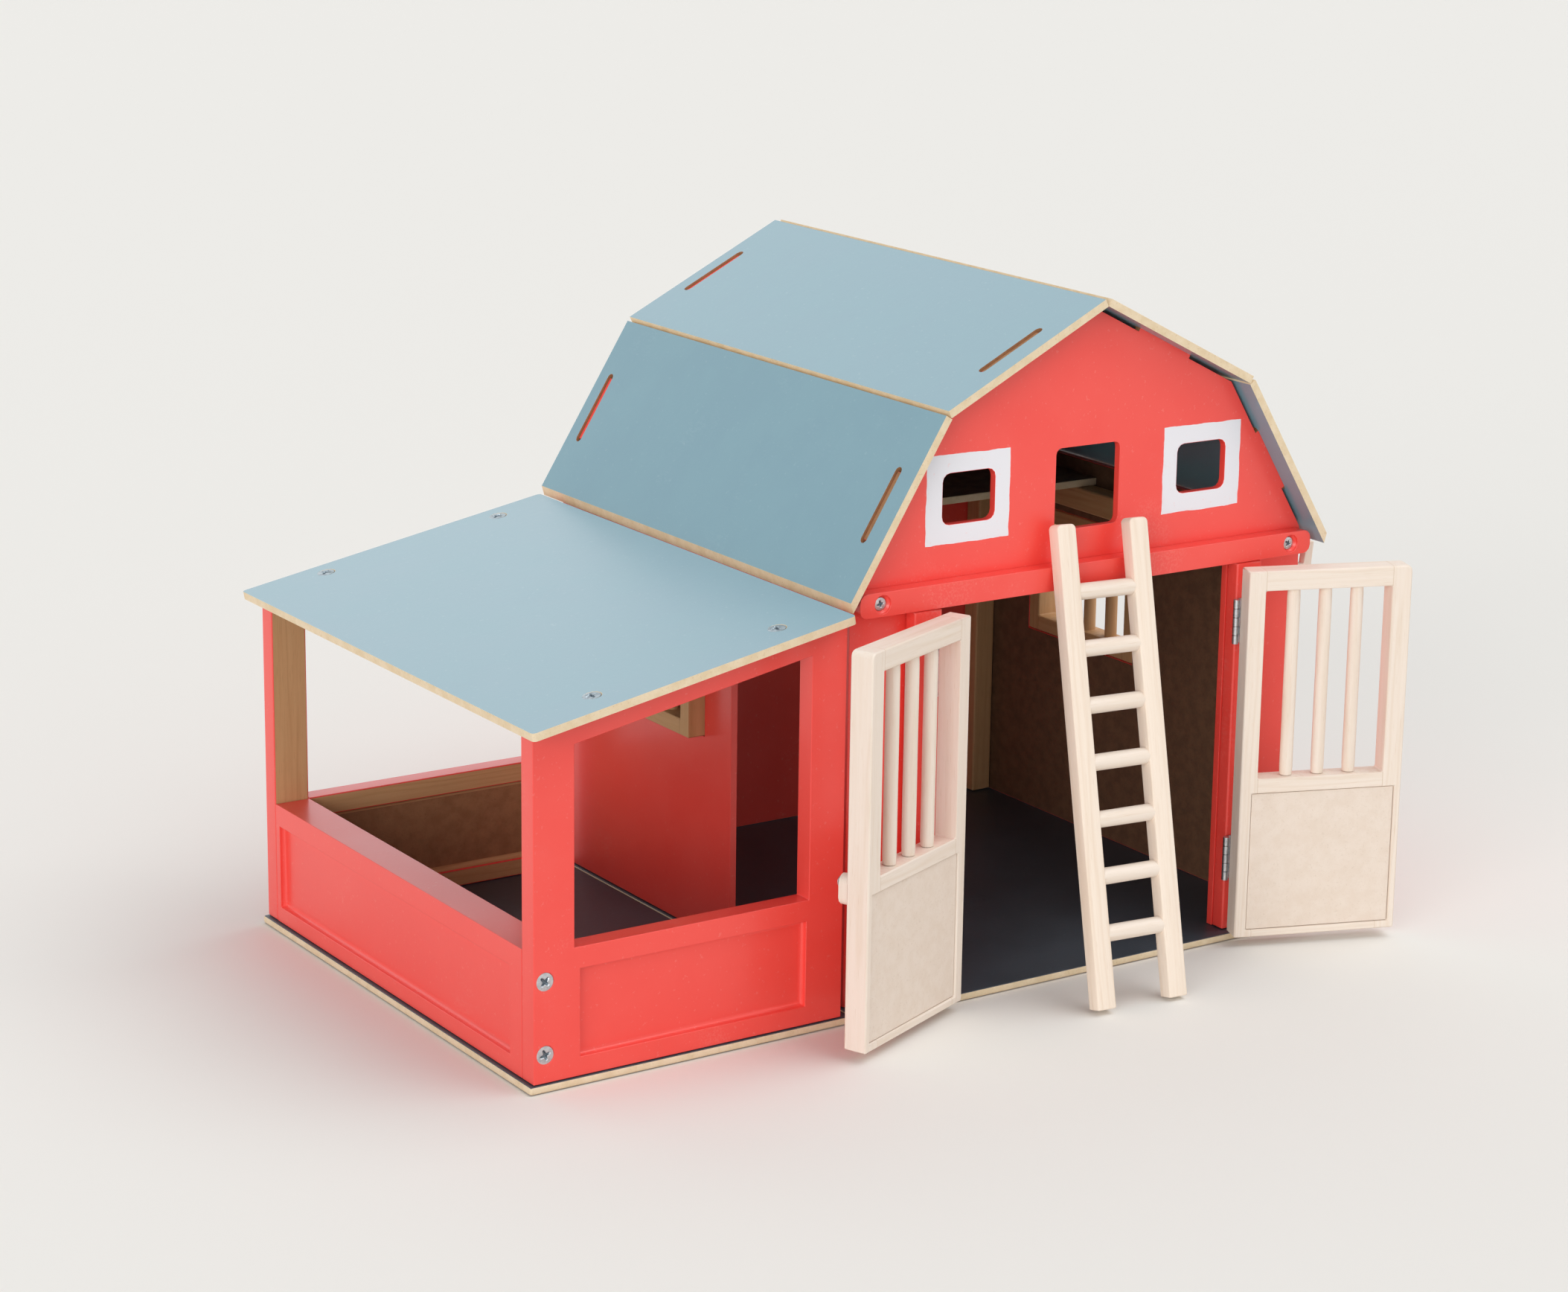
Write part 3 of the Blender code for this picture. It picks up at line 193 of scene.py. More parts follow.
@dataclass(frozen=True)
class Cloud:
    """Soft noise with its own count of spots per metre along X, Y and Z.

    Detail is how many finer layers lie on it, and rough is how strong they are. A cloud with peaks is 0
    up to the first of them and 1 from the second on.
    """

    scale: Point
    detail: float = 2.0
    rough: float = 0.5
    peaks: Span | None = None

    def on(self, sheet: Sheet, place: Socket) -> Socket:
        """Lay the noise.

        Args:
            sheet: The nodes to lay it with.
            place: The place on the piece.

        Returns:
            A number from 0 to 1, mostly near a half where there are no peaks.
        """
        spread = sheet.node("Mapping", {0: place, 3: self.scale}).outputs[0]
        feeds = {"Vector": spread, "Scale": 1.0, "Detail": self.detail, "Roughness": self.rough}
        noise = sheet.node("TexNoise", feeds).outputs[0]
        return sheet.rise(noise, *self.peaks) if self.peaks else noise


@dataclass(frozen=True)
class Effect:
    """A pattern that several finishes share, kept as one shader node group."""

    name: str
    clouds: dict[str, Cloud]

    def lay(self, sheet: Sheet, place: Socket) -> dict[str, Socket]:
        """Lay out the group's nodes: each of its clouds.

        Args:
            sheet: The group's nodes.
            place: The vector that the pattern reads.

        Returns:
            The group's outputs by name.
        """
        return {label: cloud.on(sheet, place) for label, cloud in self.clouds.items()}

    def tree(self) -> bpy.types.NodeTree:
        """Find the group, or make it on its first use.

        Returns:
            The group's node tree.
        """
        known = bpy.data.node_groups.get(self.name)
        if known:
            return known
        tree = bpy.data.node_groups.new(self.name, "ShaderNodeTree")
        tree.interface.new_socket(name="Place", in_out="INPUT", socket_type="NodeSocketVector")
        laid = self.lay(Sheet(tree), tree.nodes.new("NodeGroupInput").outputs["Place"])
        for label in laid:
            tree.interface.new_socket(name=label, in_out="OUTPUT", socket_type="NodeSocketFloat")
        leave = tree.nodes.new("NodeGroupOutput")
        for label, socket in laid.items():
            tree.links.new(socket, leave.inputs[label])
        return tree

    def on(self, sheet: Sheet, place: Socket) -> dict[str, Socket]:
        """Set the group into a material.

        Args:
            sheet: The material's nodes.
            place: The vector that the pattern reads.

        Returns:
            The group's outputs by name.
        """
        node = sheet.node("Group", node_tree=self.tree())
        sheet.tree.links.new(place, node.inputs["Place"])
        return {socket.name: socket for socket in node.outputs}


@dataclass(frozen=True)
class WoodGrain(Effect):
    """The grain of planed wood, whose fibres run along X.

    Its ring rates are in radians per metre along Y and Z.
    """

    ring_rates: Span = (1500.0, 640.0)
    ring_bend: float = 26.0
    ring_power: float = 2.6
    pore_peaks: Span = (0.60, 0.72)

    def lay(self, sheet: Sheet, place: Socket) -> dict[str, Socket]:
        """Add growth rings, a sine of the depth across the fibres bent by slow noise along them.

        The sine goes from 0 to 1 and is raised to a power, so that late wood is narrow. Pores are the peaks
        of the fibres' noise.

        Args:
            sheet: The group's nodes.
            place: The place in the fibres' axes.

        Returns:
            The group's outputs by name.
        """
        laid = super().lay(sheet, place)
        _, y, z = sheet.axes(place)
        depth = sheet.plus(sheet.times(y, self.ring_rates[0]), sheet.times(z, self.ring_rates[1]))
        phase = sheet.plus(depth, sheet.times(laid["Slow"], self.ring_bend))
        wave = sheet.plus(sheet.times(sheet.math("SINE", phase), 0.5), 0.5)
        laid["Rings"] = sheet.math("POWER", wave, self.ring_power)
        laid["Pores"] = sheet.rise(laid["Fibre"], *self.pore_peaks)
        return laid


@dataclass(frozen=True)
class BrokenPatches(Effect):
    """Patches of a first cloud, broken up by a second."""

    def lay(self, sheet: Sheet, place: Socket) -> dict[str, Socket]:
        """Multiply the two clouds.

        Args:
            sheet: The group's nodes.
            place: The place on the piece.

        Returns:
            The group's one output, by name.
        """
        return {"Patches": sheet.times(*super().lay(sheet, place).values())}


GRAIN = WoodGrain("wood_grain", {
    "Slow": Cloud((7, 90, 90)), "Streak": Cloud((16, 420, 420), 3.0, 0.6),
    "Fibre": Cloud((90, 2600, 2600), 2.0, 0.6)})
FIBREBOARD = Effect("pressed_fibres", {
    "Mottle": Cloud((150, 150, 150), 4.0, 0.6), "Grit": Cloud((1900, 1900, 1900), 2.0, 0.7),
    "Flecks": Cloud((780, 780, 780), 3.0, 0.7, (0.57, 0.70))})
PAINT = Effect("paint_film", {
    "Mottle": Cloud((28, 28, 28), 4.0, 0.55), "Stipple": Cloud((1100, 1100, 1100)),
    "Ripple": Cloud((160, 260, 160)), "Specks": Cloud((620, 620, 620), 1.0, 0.4, (0.70, 0.78))})
SCUFFS = BrokenPatches("handling_scuffs", {
    "Patch": Cloud((19, 23, 21), 3.0, 0.65, (0.58, 0.72)),
    "Crumb": Cloud((900, 300, 900), 3.0, 0.7, (0.46, 0.62))})
PLATING = Effect("zinc_bloom", {
    "Bloom": Cloud((520, 520, 520), 4.0, 0.6), "Lines": Cloud((700, 700, 5200))})


@dataclass(frozen=True)
class Skin:
    """What a finish feeds its shader with."""

    colour: Socket
    roughness: Socket
    height: Socket


@dataclass(frozen=True, kw_only=True)
class Finish(ABC):
    """What every finish has, with the height of its relief in metres.

    Its roughness wanders between that much smoother and that much rougher.
    """

    name: str
    colour: str
    relief: float
    roughness: float
    smoother: float
    rougher: float
    coat: float = 0.0
    metallic: float = 0.0
    coat_roughness: float = 0.22
    bump_strength: float = 0.85

    @abstractmethod
    def skin(self, sheet: Sheet, place: Socket) -> Skin:
        """Lay out the nodes of the pattern.

        Args:
            sheet: The material's nodes.
            place: The place on the piece, in the pattern's own frame.

        Returns:
            The sockets for the shader.
        """

    def rough(self, sheet: Sheet, pattern: Socket) -> Socket:
        """Let the roughness wander with a noise."""
        low, high = self.roughness - self.smoother, self.roughness + self.rougher
        return sheet.rise(pattern, *NOISE_MIDDLE, low, high)

    def material(self, pattern: Matrix | None = None, label: str = "") -> Material:
        """Make the finish's material for one frame of its pattern.

        Args:
            pattern: The frame in which the pattern lies, its X axis along the fibres.
            label: What tells this frame's material from the finish's others.

        Returns:
            The material, which is made once for each label.
        """
        title = self.name + ("_" + label if label else "")
        known = bpy.data.materials.get(title)
        if known:
            return known
        material = bpy.data.materials.new(title)
        material.use_nodes = True
        sheet = Sheet(material.node_tree)
        shader = material.node_tree.nodes["Principled BSDF"]
        turn = pattern or Matrix.Identity(4)
        feeds = {0: sheet.node("TexCoord").outputs["Object"], 1: tuple(turn.translation),
                 2: tuple(turn.to_euler())}
        skin = self.skin(sheet, sheet.node("Mapping", feeds, vector_type="TEXTURE").outputs[0])
        feeds = {"Strength": self.bump_strength, "Distance": self.relief, "Height": skin.height}
        bump = sheet.node("Bump", feeds).outputs[0]
        feeds = {"Base Color": skin.colour, "Roughness": skin.roughness, "Normal": bump,
                 "Metallic": self.metallic, "Coat Weight": self.coat, "Coat Roughness": self.coat_roughness}
        for name, feed in feeds.items():
            sheet.feed(shader.inputs[name], feed)
        return material


@dataclass(frozen=True, kw_only=True)
class Border:
    """A white border brushed round two windows, which lie alike to the left and right of the middle."""

    middle: float
    window_x: float
    window_z: float
    half_width: float
    half_height: float
    white: str = "EBEAEF"
    unevenness: Cloud = Cloud((95, 95, 95), 3.0)
    waver: float = 0.0016
    edge: Span = (-0.00012, 0.00014)

    def over(self, sheet: Sheet, place: Socket, colour: Socket) -> Socket:
        """Lay the white where the larger overrun of a border is below nothing.

        The overrun is the distance past a border's side, and slow noise makes the brushed edge waver.

        Args:
            sheet: The material's nodes.
            place: The place on the piece.
            colour: The coat's own colour.

        Returns:
            The colour with the borders on it.
        """
        x, _, z = sheet.axes(place)
        aside = sheet.distance(sheet.distance(x, self.middle), self.window_x)
        upward = sheet.distance(z, self.window_z)
        over = sheet.math("MAXIMUM", sheet.minus(aside, self.half_width),
                          sheet.minus(upward, self.half_height))
        waver = sheet.times(sheet.minus(self.unevenness.on(sheet, place), 0.5), self.waver)
        inside = sheet.rise(sheet.plus(over, waver), *self.edge, 1.0, 0.0)
        return sheet.blend(inside, colour, linear(self.white))


@dataclass(frozen=True, kw_only=True)
class PaintFinish(Finish):
    """A coat of paint on smooth board, with or without a border round windows."""

    thin: str
    worn: str
    border: Border | None = None
    smoother: float = 0.02
    rougher: float = 0.03
    thin_peaks: Span = (0.36, 0.66)
    speck_strength: float = 0.16
    scuff_strength: float = 0.14
    scuff_roughness: float = 0.15
    stipple_height: float = 0.45

    def skin(self, sheet: Sheet, place: Socket) -> Skin:
        """Mix the coat's full and thin tones by its mottle, and rub it pale at the scuffs.

        Args:
            sheet: The material's nodes.
            place: The place on the piece.

        Returns:
            The sockets for the shader.
        """
        film = PAINT.on(sheet, place)
        scuffs = SCUFFS.on(sheet, place)["Patches"]
        full, thin, worn = linear(self.colour), linear(self.thin), linear(self.worn)
        colour = sheet.blend(sheet.rise(film["Mottle"], *self.thin_peaks), full, thin)
        if self.border:
            colour = self.border.over(sheet, place, colour)
        colour = sheet.blend(sheet.times(film["Specks"], self.speck_strength), colour, worn)
        colour = sheet.blend(sheet.times(scuffs, self.scuff_strength), colour, worn)
        rough = sheet.plus(self.rough(sheet, film["Mottle"]), sheet.times(scuffs, self.scuff_roughness))
        height = sheet.plus(sheet.times(film["Stipple"], self.stipple_height), film["Ripple"])
        return Skin(colour, rough, height)


@dataclass(frozen=True, kw_only=True)
class FibreboardFinish(Finish):
    """Bare pressed fibreboard, on a face or a sawn edge."""

    deep: str
    fleck: str
    smoother: float = 0.05
    rougher: float = 0.05
    deep_peaks: Span = (0.32, 0.70)
    grit_peaks: Span = (0.35, 0.75)
    grit_strength: float = 0.35
    fleck_strength: float = 0.45
    mottle_height: float = 0.6

    def skin(self, sheet: Sheet, place: Socket) -> Skin:
        """Mix two tones of pulp by the mottle, then add grit and flecks.

        Args:
            sheet: The material's nodes.
            place: The place on the piece.

        Returns:
            The sockets for the shader.
        """
        fibres = FIBREBOARD.on(sheet, place)
        deep = linear(self.deep)
        colour = sheet.blend(sheet.rise(fibres["Mottle"], *self.deep_peaks), linear(self.colour), deep)
        grit = sheet.rise(fibres["Grit"], *self.grit_peaks, 0.0, self.grit_strength)
        flecks = sheet.times(fibres["Flecks"], self.fleck_strength)
        colour = sheet.blend(flecks, sheet.blend(grit, colour, deep), linear(self.fleck))
        height = sheet.plus(fibres["Grit"], sheet.times(fibres["Mottle"], self.mottle_height))
        return Skin(colour, self.rough(sheet, fibres["Mottle"]), height)


@dataclass(frozen=True)
class Joinery:
    """Where a frame's members meet, in the frame's own X and Z."""

    left: float
    right: float
    hole_bottom: float
    hole_top: float


@dataclass(frozen=True, kw_only=True)
class WoodFinish(Finish):
    """Bare sanded wood with its grain, which turns at the joints of a joined frame.

    The shifts, in metres, give each stile and rail a timber of its own.
    """

    ring: str
    pore: str
    smoother: float = 0.04
    rougher: float = 0.06
    joinery: Joinery | None = None
    ring_peaks: Span = (0.40, 0.62)
    ring_strengths: Span = (0.10, 0.55)
    ring_height: float = 0.5
    streak_peaks: Span = (0.42, 0.78)
    streak_strength: float = 0.45
    pore_strength: float = 0.30
    stile_shift: float = 0.371
    rail_shift: float = 0.211
    hairline: Span = (0.00006, 0.00022)
    hairline_strength: float = 0.55
    hairline_depth: float = 2.0

    def fibres_along(self, sheet: Sheet, place: Socket, joint: Joinery) -> tuple[Socket, Socket]:
        """Lay the fibres along each member of a joined frame, each member from its own timber.

        Args:
            sheet: The material's nodes.
            place: The place in the frame's own axes.
            joint: Where its members meet.

        Returns:
            The place in the fibres' axes, and how deep in a joint's hairline it is.
        """
        x, y, z = sheet.axes(place)
        past_left = sheet.math("GREATER_THAN", x, joint.left)
        past_right = sheet.math("LESS_THAN", x, joint.right)
        above = sheet.math("GREATER_THAN", z, joint.hole_top)
        level = sheet.math("MAXIMUM", sheet.math("LESS_THAN", z, joint.hole_bottom), above)
        rail = sheet.times(sheet.times(past_left, past_right), level)
        aside = sheet.plus(x, sheet.times(past_left, self.stile_shift))
        upward = sheet.plus(z, sheet.times(above, self.rail_shift))
        stile_place = sheet.node("CombineXYZ", {0: z, 1: aside, 2: y}).outputs[0]
        rail_place = sheet.node("CombineXYZ", {0: x, 1: upward, 2: y}).outputs[0]
        nearest = sheet.math("MINIMUM", sheet.distance(x, joint.left), sheet.distance(x, joint.right))
        line = sheet.times(sheet.rise(nearest, *self.hairline, 1.0, 0.0), level)
        return sheet.choose(rail, stile_place, rail_place), line

    def skin(self, sheet: Sheet, place: Socket) -> Skin:
        """Darken the pale wood at its rings, streaks and pores, and at the hairlines of its joints.

        Args:
            sheet: The material's nodes.
            place: The place on the piece.

        Returns:
            The sockets for the shader.
        """
        if self.joinery:
            place, line = self.fibres_along(sheet, place, self.joinery)
        grain = GRAIN.on(sheet, place)
        dark, pore = linear(self.ring), linear(self.pore)
        ring_strength = sheet.rise(grain["Slow"], *self.ring_peaks, *self.ring_strengths)
        ring = sheet.times(grain["Rings"], ring_strength)
        colour = sheet.blend(ring, linear(self.colour), dark)
        streak = sheet.rise(grain["Streak"], *self.streak_peaks, 0.0, self.streak_strength)
        colour = sheet.blend(streak, colour, dark)
        colour = sheet.blend(sheet.times(grain["Pores"], self.pore_strength), colour, pore)
        height = sheet.plus(grain["Fibre"], sheet.times(ring, self.ring_height))
        if self.joinery:
            colour = sheet.blend(sheet.times(line, self.hairline_strength), colour, pore)
            height = sheet.minus(height, sheet.times(line, self.hairline_depth))
        return Skin(colour, self.rough(sheet, grain["Streak"]), height)


@dataclass(frozen=True, kw_only=True)
class SteelFinish(Finish):
    """Zinc-plated steel."""

    dull: str
    relief: float = 0.00002
    smoother: float = 0.06
    rougher: float = 0.12
    metallic: float = 1.0
    dull_peaks: Span = (0.36, 0.68)

    def skin(self, sheet: Sheet, place: Socket) -> Skin:
        """Cloud the bright plating with a duller bloom.

        Args:
            sheet: The material's nodes.
            place: The place on the piece.

        Returns:
            The sockets for the shader.
        """
        plate = PLATING.on(sheet, place)
        bloom = sheet.rise(plate["Bloom"], *self.dull_peaks)
        colour = sheet.blend(bloom, linear(self.colour), linear(self.dull))
        return Skin(colour, self.rough(sheet, plate["Bloom"]), sheet.plus(plate["Lines"], plate["Bloom"]))


RED = PaintFinish(name="barn_red_paint", relief=0.00004, coat=0.50, roughness=0.42,
                  colour="F5483E", thin="F64D43", worn="F9A49A")
ROOF_BLUE = PaintFinish(name="roof_blue_paint", relief=0.00005, coat=0.75, roughness=0.45,
                        colour="7199A7", thin="749CA9", worn="A9BFC7")
NAVY = PaintFinish(name="floor_navy_paint", relief=0.00005, coat=0.05, roughness=0.46,
                   colour="39434C", thin="414A53", worn="757A80")
EDGE = FibreboardFinish(name="sawn_board_edge", relief=0.00005, roughness=0.72,
                        colour="E8D5B6", deep="DEC8A4", fleck="C4A577")
BROWN = FibreboardFinish(name="bare_brown_board", relief=0.00006, roughness=0.66,
                         colour="A87B54", deep="966A46", fleck="6E4A2F")
# A darker copy of the bare brown board for the barn's inner wall faces and loft floor: painted shade for
# the dim, closed interior.
SHADE_DARKENED_BROWN = replace(BROWN, name="shade_darkened_inner_board", colour="7A583F", deep="694A35", fleck="4A3322")
PALE_BOARD = FibreboardFinish(name="door_fibreboard", relief=0.00004, roughness=0.62,
                              colour="EADBCD", deep="E5D4C4", fleck="D4C1AE")
PALE_WOOD = WoodFinish(name="pale_wood", relief=0.00004, roughness=0.56,
                       colour="EFE1D3", ring="E5D2BE", pore="D0B292")
LADDER_WOOD = replace(PALE_WOOD, name="ladder_wood", colour="F4E4D3", ring="E9D4BE", pore="D6BA9D")
# A browner natural wood for the posts, loft rails, side windows and the stall's inner faces: partly the
# wood's own tone, partly painted shade for where these stand in shadow.
SHADE_DARKENED_WOOD = WoodFinish(name="post_wood", relief=0.00006, roughness=0.60,
                       colour="D0A272", ring="BC8A58", pore="94663C")
ZINC = SteelFinish(name="zinc_plate", roughness=0.34, colour="D2D5D8", dull="B6BABE")
# A darker copy of the zinc for the lean-to roof's screw heads: painted shade that dims their bright
# reflection.
DIMMED_ROOF_ZINC = SteelFinish(name="roof_zinc_shade_darkened", roughness=0.30, colour="9CA8AE", dull="7F8B92")
# A darker copy of the zinc for the screws' cross recesses: painted shade in the recess.
RECESS_SHADE = SteelFinish(name="zinc_recess_shade", roughness=0.42, colour="77838C", dull="5E6870")


def axes_frame(x: Coords, y: Coords, z: Coords, origin: Coords = (0.0, 0.0, 0.0)) -> Matrix:
    """Make a local frame.

    Args:
        x: Its X axis in the toy's frame.
        y: Its Y axis.
        z: Its Z axis.
        origin: Its origin.

    Returns:
        The matrix that carries local points to the toy's frame.
    """
    place = Matrix((x, y, z)).transposed().to_4x4()
    place.translation = origin
    return place


class Way(Enum):
    """Direction in which a timber's fibres run, by the number of its axis."""

    DEEP = 1
    UPRIGHT = 2

    def turn(self) -> Matrix:
        """Return the frame whose X axis follows the fibres."""
        return axes_frame(*np.roll(np.eye(3), -self.value, axis=0).tolist())


def slope_way(side: float, slope: float) -> Point:
    """Return the way out of a roof that falls to a side (-1 is left) by a slope in degrees."""
    return (side * sin(radians(slope)), 0.0, cos(radians(slope)))


def read_rows(items: bpy.types.bpy_prop_collection, name: str) -> np.ndarray:
    """Read one vector of each vertex or face of a mesh.

    Args:
        items: The mesh's vertices or faces.
        name: What the vector is called there.

    Returns:
        The vectors, one row each.
    """
    values = np.zeros(len(items) * 3)
    items.foreach_get(name, values)
    return values.reshape(-1, 3)


def node_points(node: str) -> np.ndarray:
    """Return the corners of a CAD node's mesh, one row each."""
    return read_rows(frame["nodes"][node].data.vertices, "co")


def find_joint(name: str) -> dict[str, list[float]]:
    """Return the joint of this name."""
    return next(joint for joint in frame["joints"] if joint["name"] == name)


def fitted(verts: np.ndarray, pattern: Matrix) -> np.ndarray:
    """Return points carried from a local frame to the toy's: each is turned, then moved."""
    return verts @ np.array(pattern.to_3x3()).T + np.array(pattern.translation)


def unfitted(verts: np.ndarray, pattern: Matrix) -> np.ndarray:
    """Return points carried from the toy's frame to a local one."""
    return (verts - np.array(pattern.translation)) @ np.array(pattern.to_3x3())


def add_object(name: str, data: bpy.types.ID) -> bpy.types.Object:
    """Put a mesh, a lamp or a camera into the scene.

    Args:
        name: The object's name.
        data: What it shows.

    Returns:
        The object.
    """
    thing = bpy.data.objects.new(name, data)
    bpy.context.scene.collection.objects.link(thing)
    return thing


def settle(piece: bpy.types.Object, body: str, nodes: tuple[str, ...]) -> None:
    """Let a piece ride on its body in place of some CAD nodes, and report it.

    Args:
        piece: The piece.
        body: The CAD body that it rides on.
        nodes: The CAD nodes that it stands for.
    """
    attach(piece, body)
    if nodes:
        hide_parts(*nodes)
    LOG.info("%s rides on %s, %d faces", piece.name, body, len(piece.data.polygons))


def add_surface(name: str, surface: Surface, finish: Material, body: str,
                nodes: tuple[str, ...] = ()) -> bpy.types.Object:
    """Make a piece from a closed surface and set it on its body.

    Args:
        name: The piece's name.
        surface: Its points in the toy's frame, and its faces by point number.
        finish: Its material.
        body: The CAD body that it rides on.
        nodes: The CAD nodes that it stands for.

    Returns:
        The piece.
    """
    mesh = bpy.data.meshes.new(name)
    mesh.from_pydata(surface[0].tolist(), [], surface[1])
    shell = bmesh.new()
    shell.from_mesh(mesh)
    bmesh.ops.remove_doubles(shell, verts=shell.verts, dist=MERGE_GAP)
    bmesh.ops.recalc_face_normals(shell, faces=shell.faces)
    shell.to_mesh(mesh)
    shell.free()
    mesh.shade_smooth()
    mesh.set_sharp_from_angle(angle=SHARP_ANGLE)
    mesh.materials.append(finish)
    piece = add_object(name, mesh)
    settle(piece, body, nodes)
    return piece


def grid_faces(rows: int, columns: int, closed: bool = False) -> Faces:
    """Join a grid of points whose columns close on themselves, row by row.

    Args:
        rows: Its rows.
        columns: The points in a row.
        closed: Whether the last row joins the first one too.

    Returns:
        The faces by point number.
    """
    row, column = np.meshgrid(np.arange(rows if closed else rows - 1), np.arange(columns), indexing="ij")
    here, below = row * columns, (row + 1) % rows * columns
    after = (column + 1) % columns
    quads = np.stack([here + column, here + after, below + after, below + column], axis=-1)
    return quads.reshape(-1, 4).tolist()


def lofted(rings: np.ndarray) -> Surface:
    """Skin a stack of closed rings, and close its two ends with a fan to the end ring's middle.

    Args:
        rings: Points by ring, place on the ring and axis.

    Returns:
        The points and the faces.
    """
    count, sides = rings.shape[:2]
    verts = np.concatenate([rings.reshape(-1, 3), rings[[0, -1]].mean(axis=1)])
    around = np.arange(sides)
    after = (around + 1) % sides
    first_middle, last_ring = count * sides, (count - 1) * sides
    first = np.stack([np.full(sides, first_middle), after, around], axis=-1)
    last = np.stack([np.full(sides, first_middle + 1), last_ring + around, last_ring + after], axis=-1)
    return verts, grid_faces(count, sides) + first.tolist() + last.tolist()


def turned(profile: np.ndarray, sides: int, relief: Relief | None = None) -> Surface:
    """Turn a half profile of radius and height round Z.

    A point at angle a is (radius cos a, radius sin a, height), less what the relief takes off there.

    Args:
        profile: Radius and height from the top's middle to the bottom's.
        sides: Points round the axis.
        relief: Depth to take off at an X and a Y, for the rows that face up.

    Returns:
        The points and the faces.
    """
    angle = np.linspace(0, 2 * pi, sides, endpoint=False)
    radius, height = profile[:, :1], profile[:, 1:]
    x, y = radius * np.cos(angle), radius * np.sin(angle)
    z = height + np.zeros_like(x)
    if relief:
        z = z - relief(x, y) * (np.arange(len(profile))[:, None] < len(profile) // 2)
    return lofted(np.stack([x, y, z], axis=-1))


def rounded_section(half_width: np.ndarray, half_depth: np.ndarray, radius: float,
                    steps: int) -> np.ndarray:
    """Lay out rounded rectangles, one for each pair of half sizes.

    Each corner is a quarter circle, so a point is the corner's centre plus the radius times its direction.

    Args:
        half_width: Half sizes along X, one for each ring.
        half_depth: Half sizes along Y.
        radius: The corners' radius.
        steps: Points on each corner.

    Returns:
        X and Y by ring and place on it.
    """
    angle = (np.arange(4)[:, None] * pi / 2 + np.linspace(0, pi / 2, steps)).ravel()
    side_x = np.repeat([1, -1, -1, 1], steps)
    side_y = np.repeat([1, 1, -1, -1], steps)
    fit = np.minimum(radius, np.minimum(half_width, half_depth))[:, None]
    x = side_x * (half_width[:, None] - fit) + fit * np.cos(angle)
    y = side_y * (half_depth[:, None] - fit) + fit * np.sin(angle)
    return np.stack([x, y], axis=-1)


@dataclass(frozen=True)
class Bar:
    """A planed bar along Z from nought to its length, with eased arrises and rounded ends."""

    width: float
    depth: float
    length: float
    arris: float = 0.0007
    foot_radius: float = 0.0007
    head_radius: float = 0.0024
    bend_rows: int = 7
    side_rows: int = 12
    corner_points: int = 4

    def surface(self) -> Surface:
        """Draw the bar in as it nears an end: the side follows a quarter circle of the end's radius.

        Returns:
            The points and the faces.
        """
        bend = np.linspace(0, pi / 2, self.bend_rows)
        rise, run = 1 - np.cos(bend), 1 - np.sin(bend)
        foot, foot_in = self.foot_radius * rise, self.foot_radius * run
        head, head_in = self.length - self.head_radius * rise[::-1], self.head_radius * run[::-1]
        edge = min(self.arris, self.head_radius) * run[::-1]
        middle = np.linspace(self.foot_radius, self.length - self.head_radius, self.side_rows)[1:-1]
        straight = np.zeros_like(middle)
        height = np.concatenate([foot, middle, head])
        inset = np.concatenate([foot_in, straight, head_in])
        thin = np.concatenate([foot_in, straight, edge])
        section = rounded_section(self.width / 2 - inset, self.depth / 2 - thin, self.arris,
                                  self.corner_points)
        tall = np.broadcast_to(height[:, None, None], section.shape[:2] + (1,))
        return lofted(np.concatenate([section, tall], axis=-1))


@dataclass(frozen=True)
class Dowel:
    """A round stick along Z from nought to its length, a little uneven from turning."""

    radius: float
    length: float
    sides: int = 32
    rows: int = 24
    end_draw: float = 0.06
    end_rate: float = 6.0
    waver: float = 0.006
    waver_rate: float = 130.0

    def surface(self, phase: float) -> Surface:
        """Let the radius waver by a slow sine of the height, and ease both ends.

        An end draws in by its share times the exponential of minus the squared distance to it.

        Args:
            phase: Where the sine starts, in radians.

        Returns:
            The points and the faces.
        """
        height = np.linspace(0, self.length, self.rows)
        end = np.minimum(height, self.length - height) / self.radius
        eased = 1 - self.end_draw * np.exp(-(end * self.end_rate) ** 2)
        uneven = 1 + self.waver * (np.sin(height * self.waver_rate + phase) - 1)
        return turned(np.stack([self.radius * eased * uneven, height], axis=-1)[::-1], self.sides)


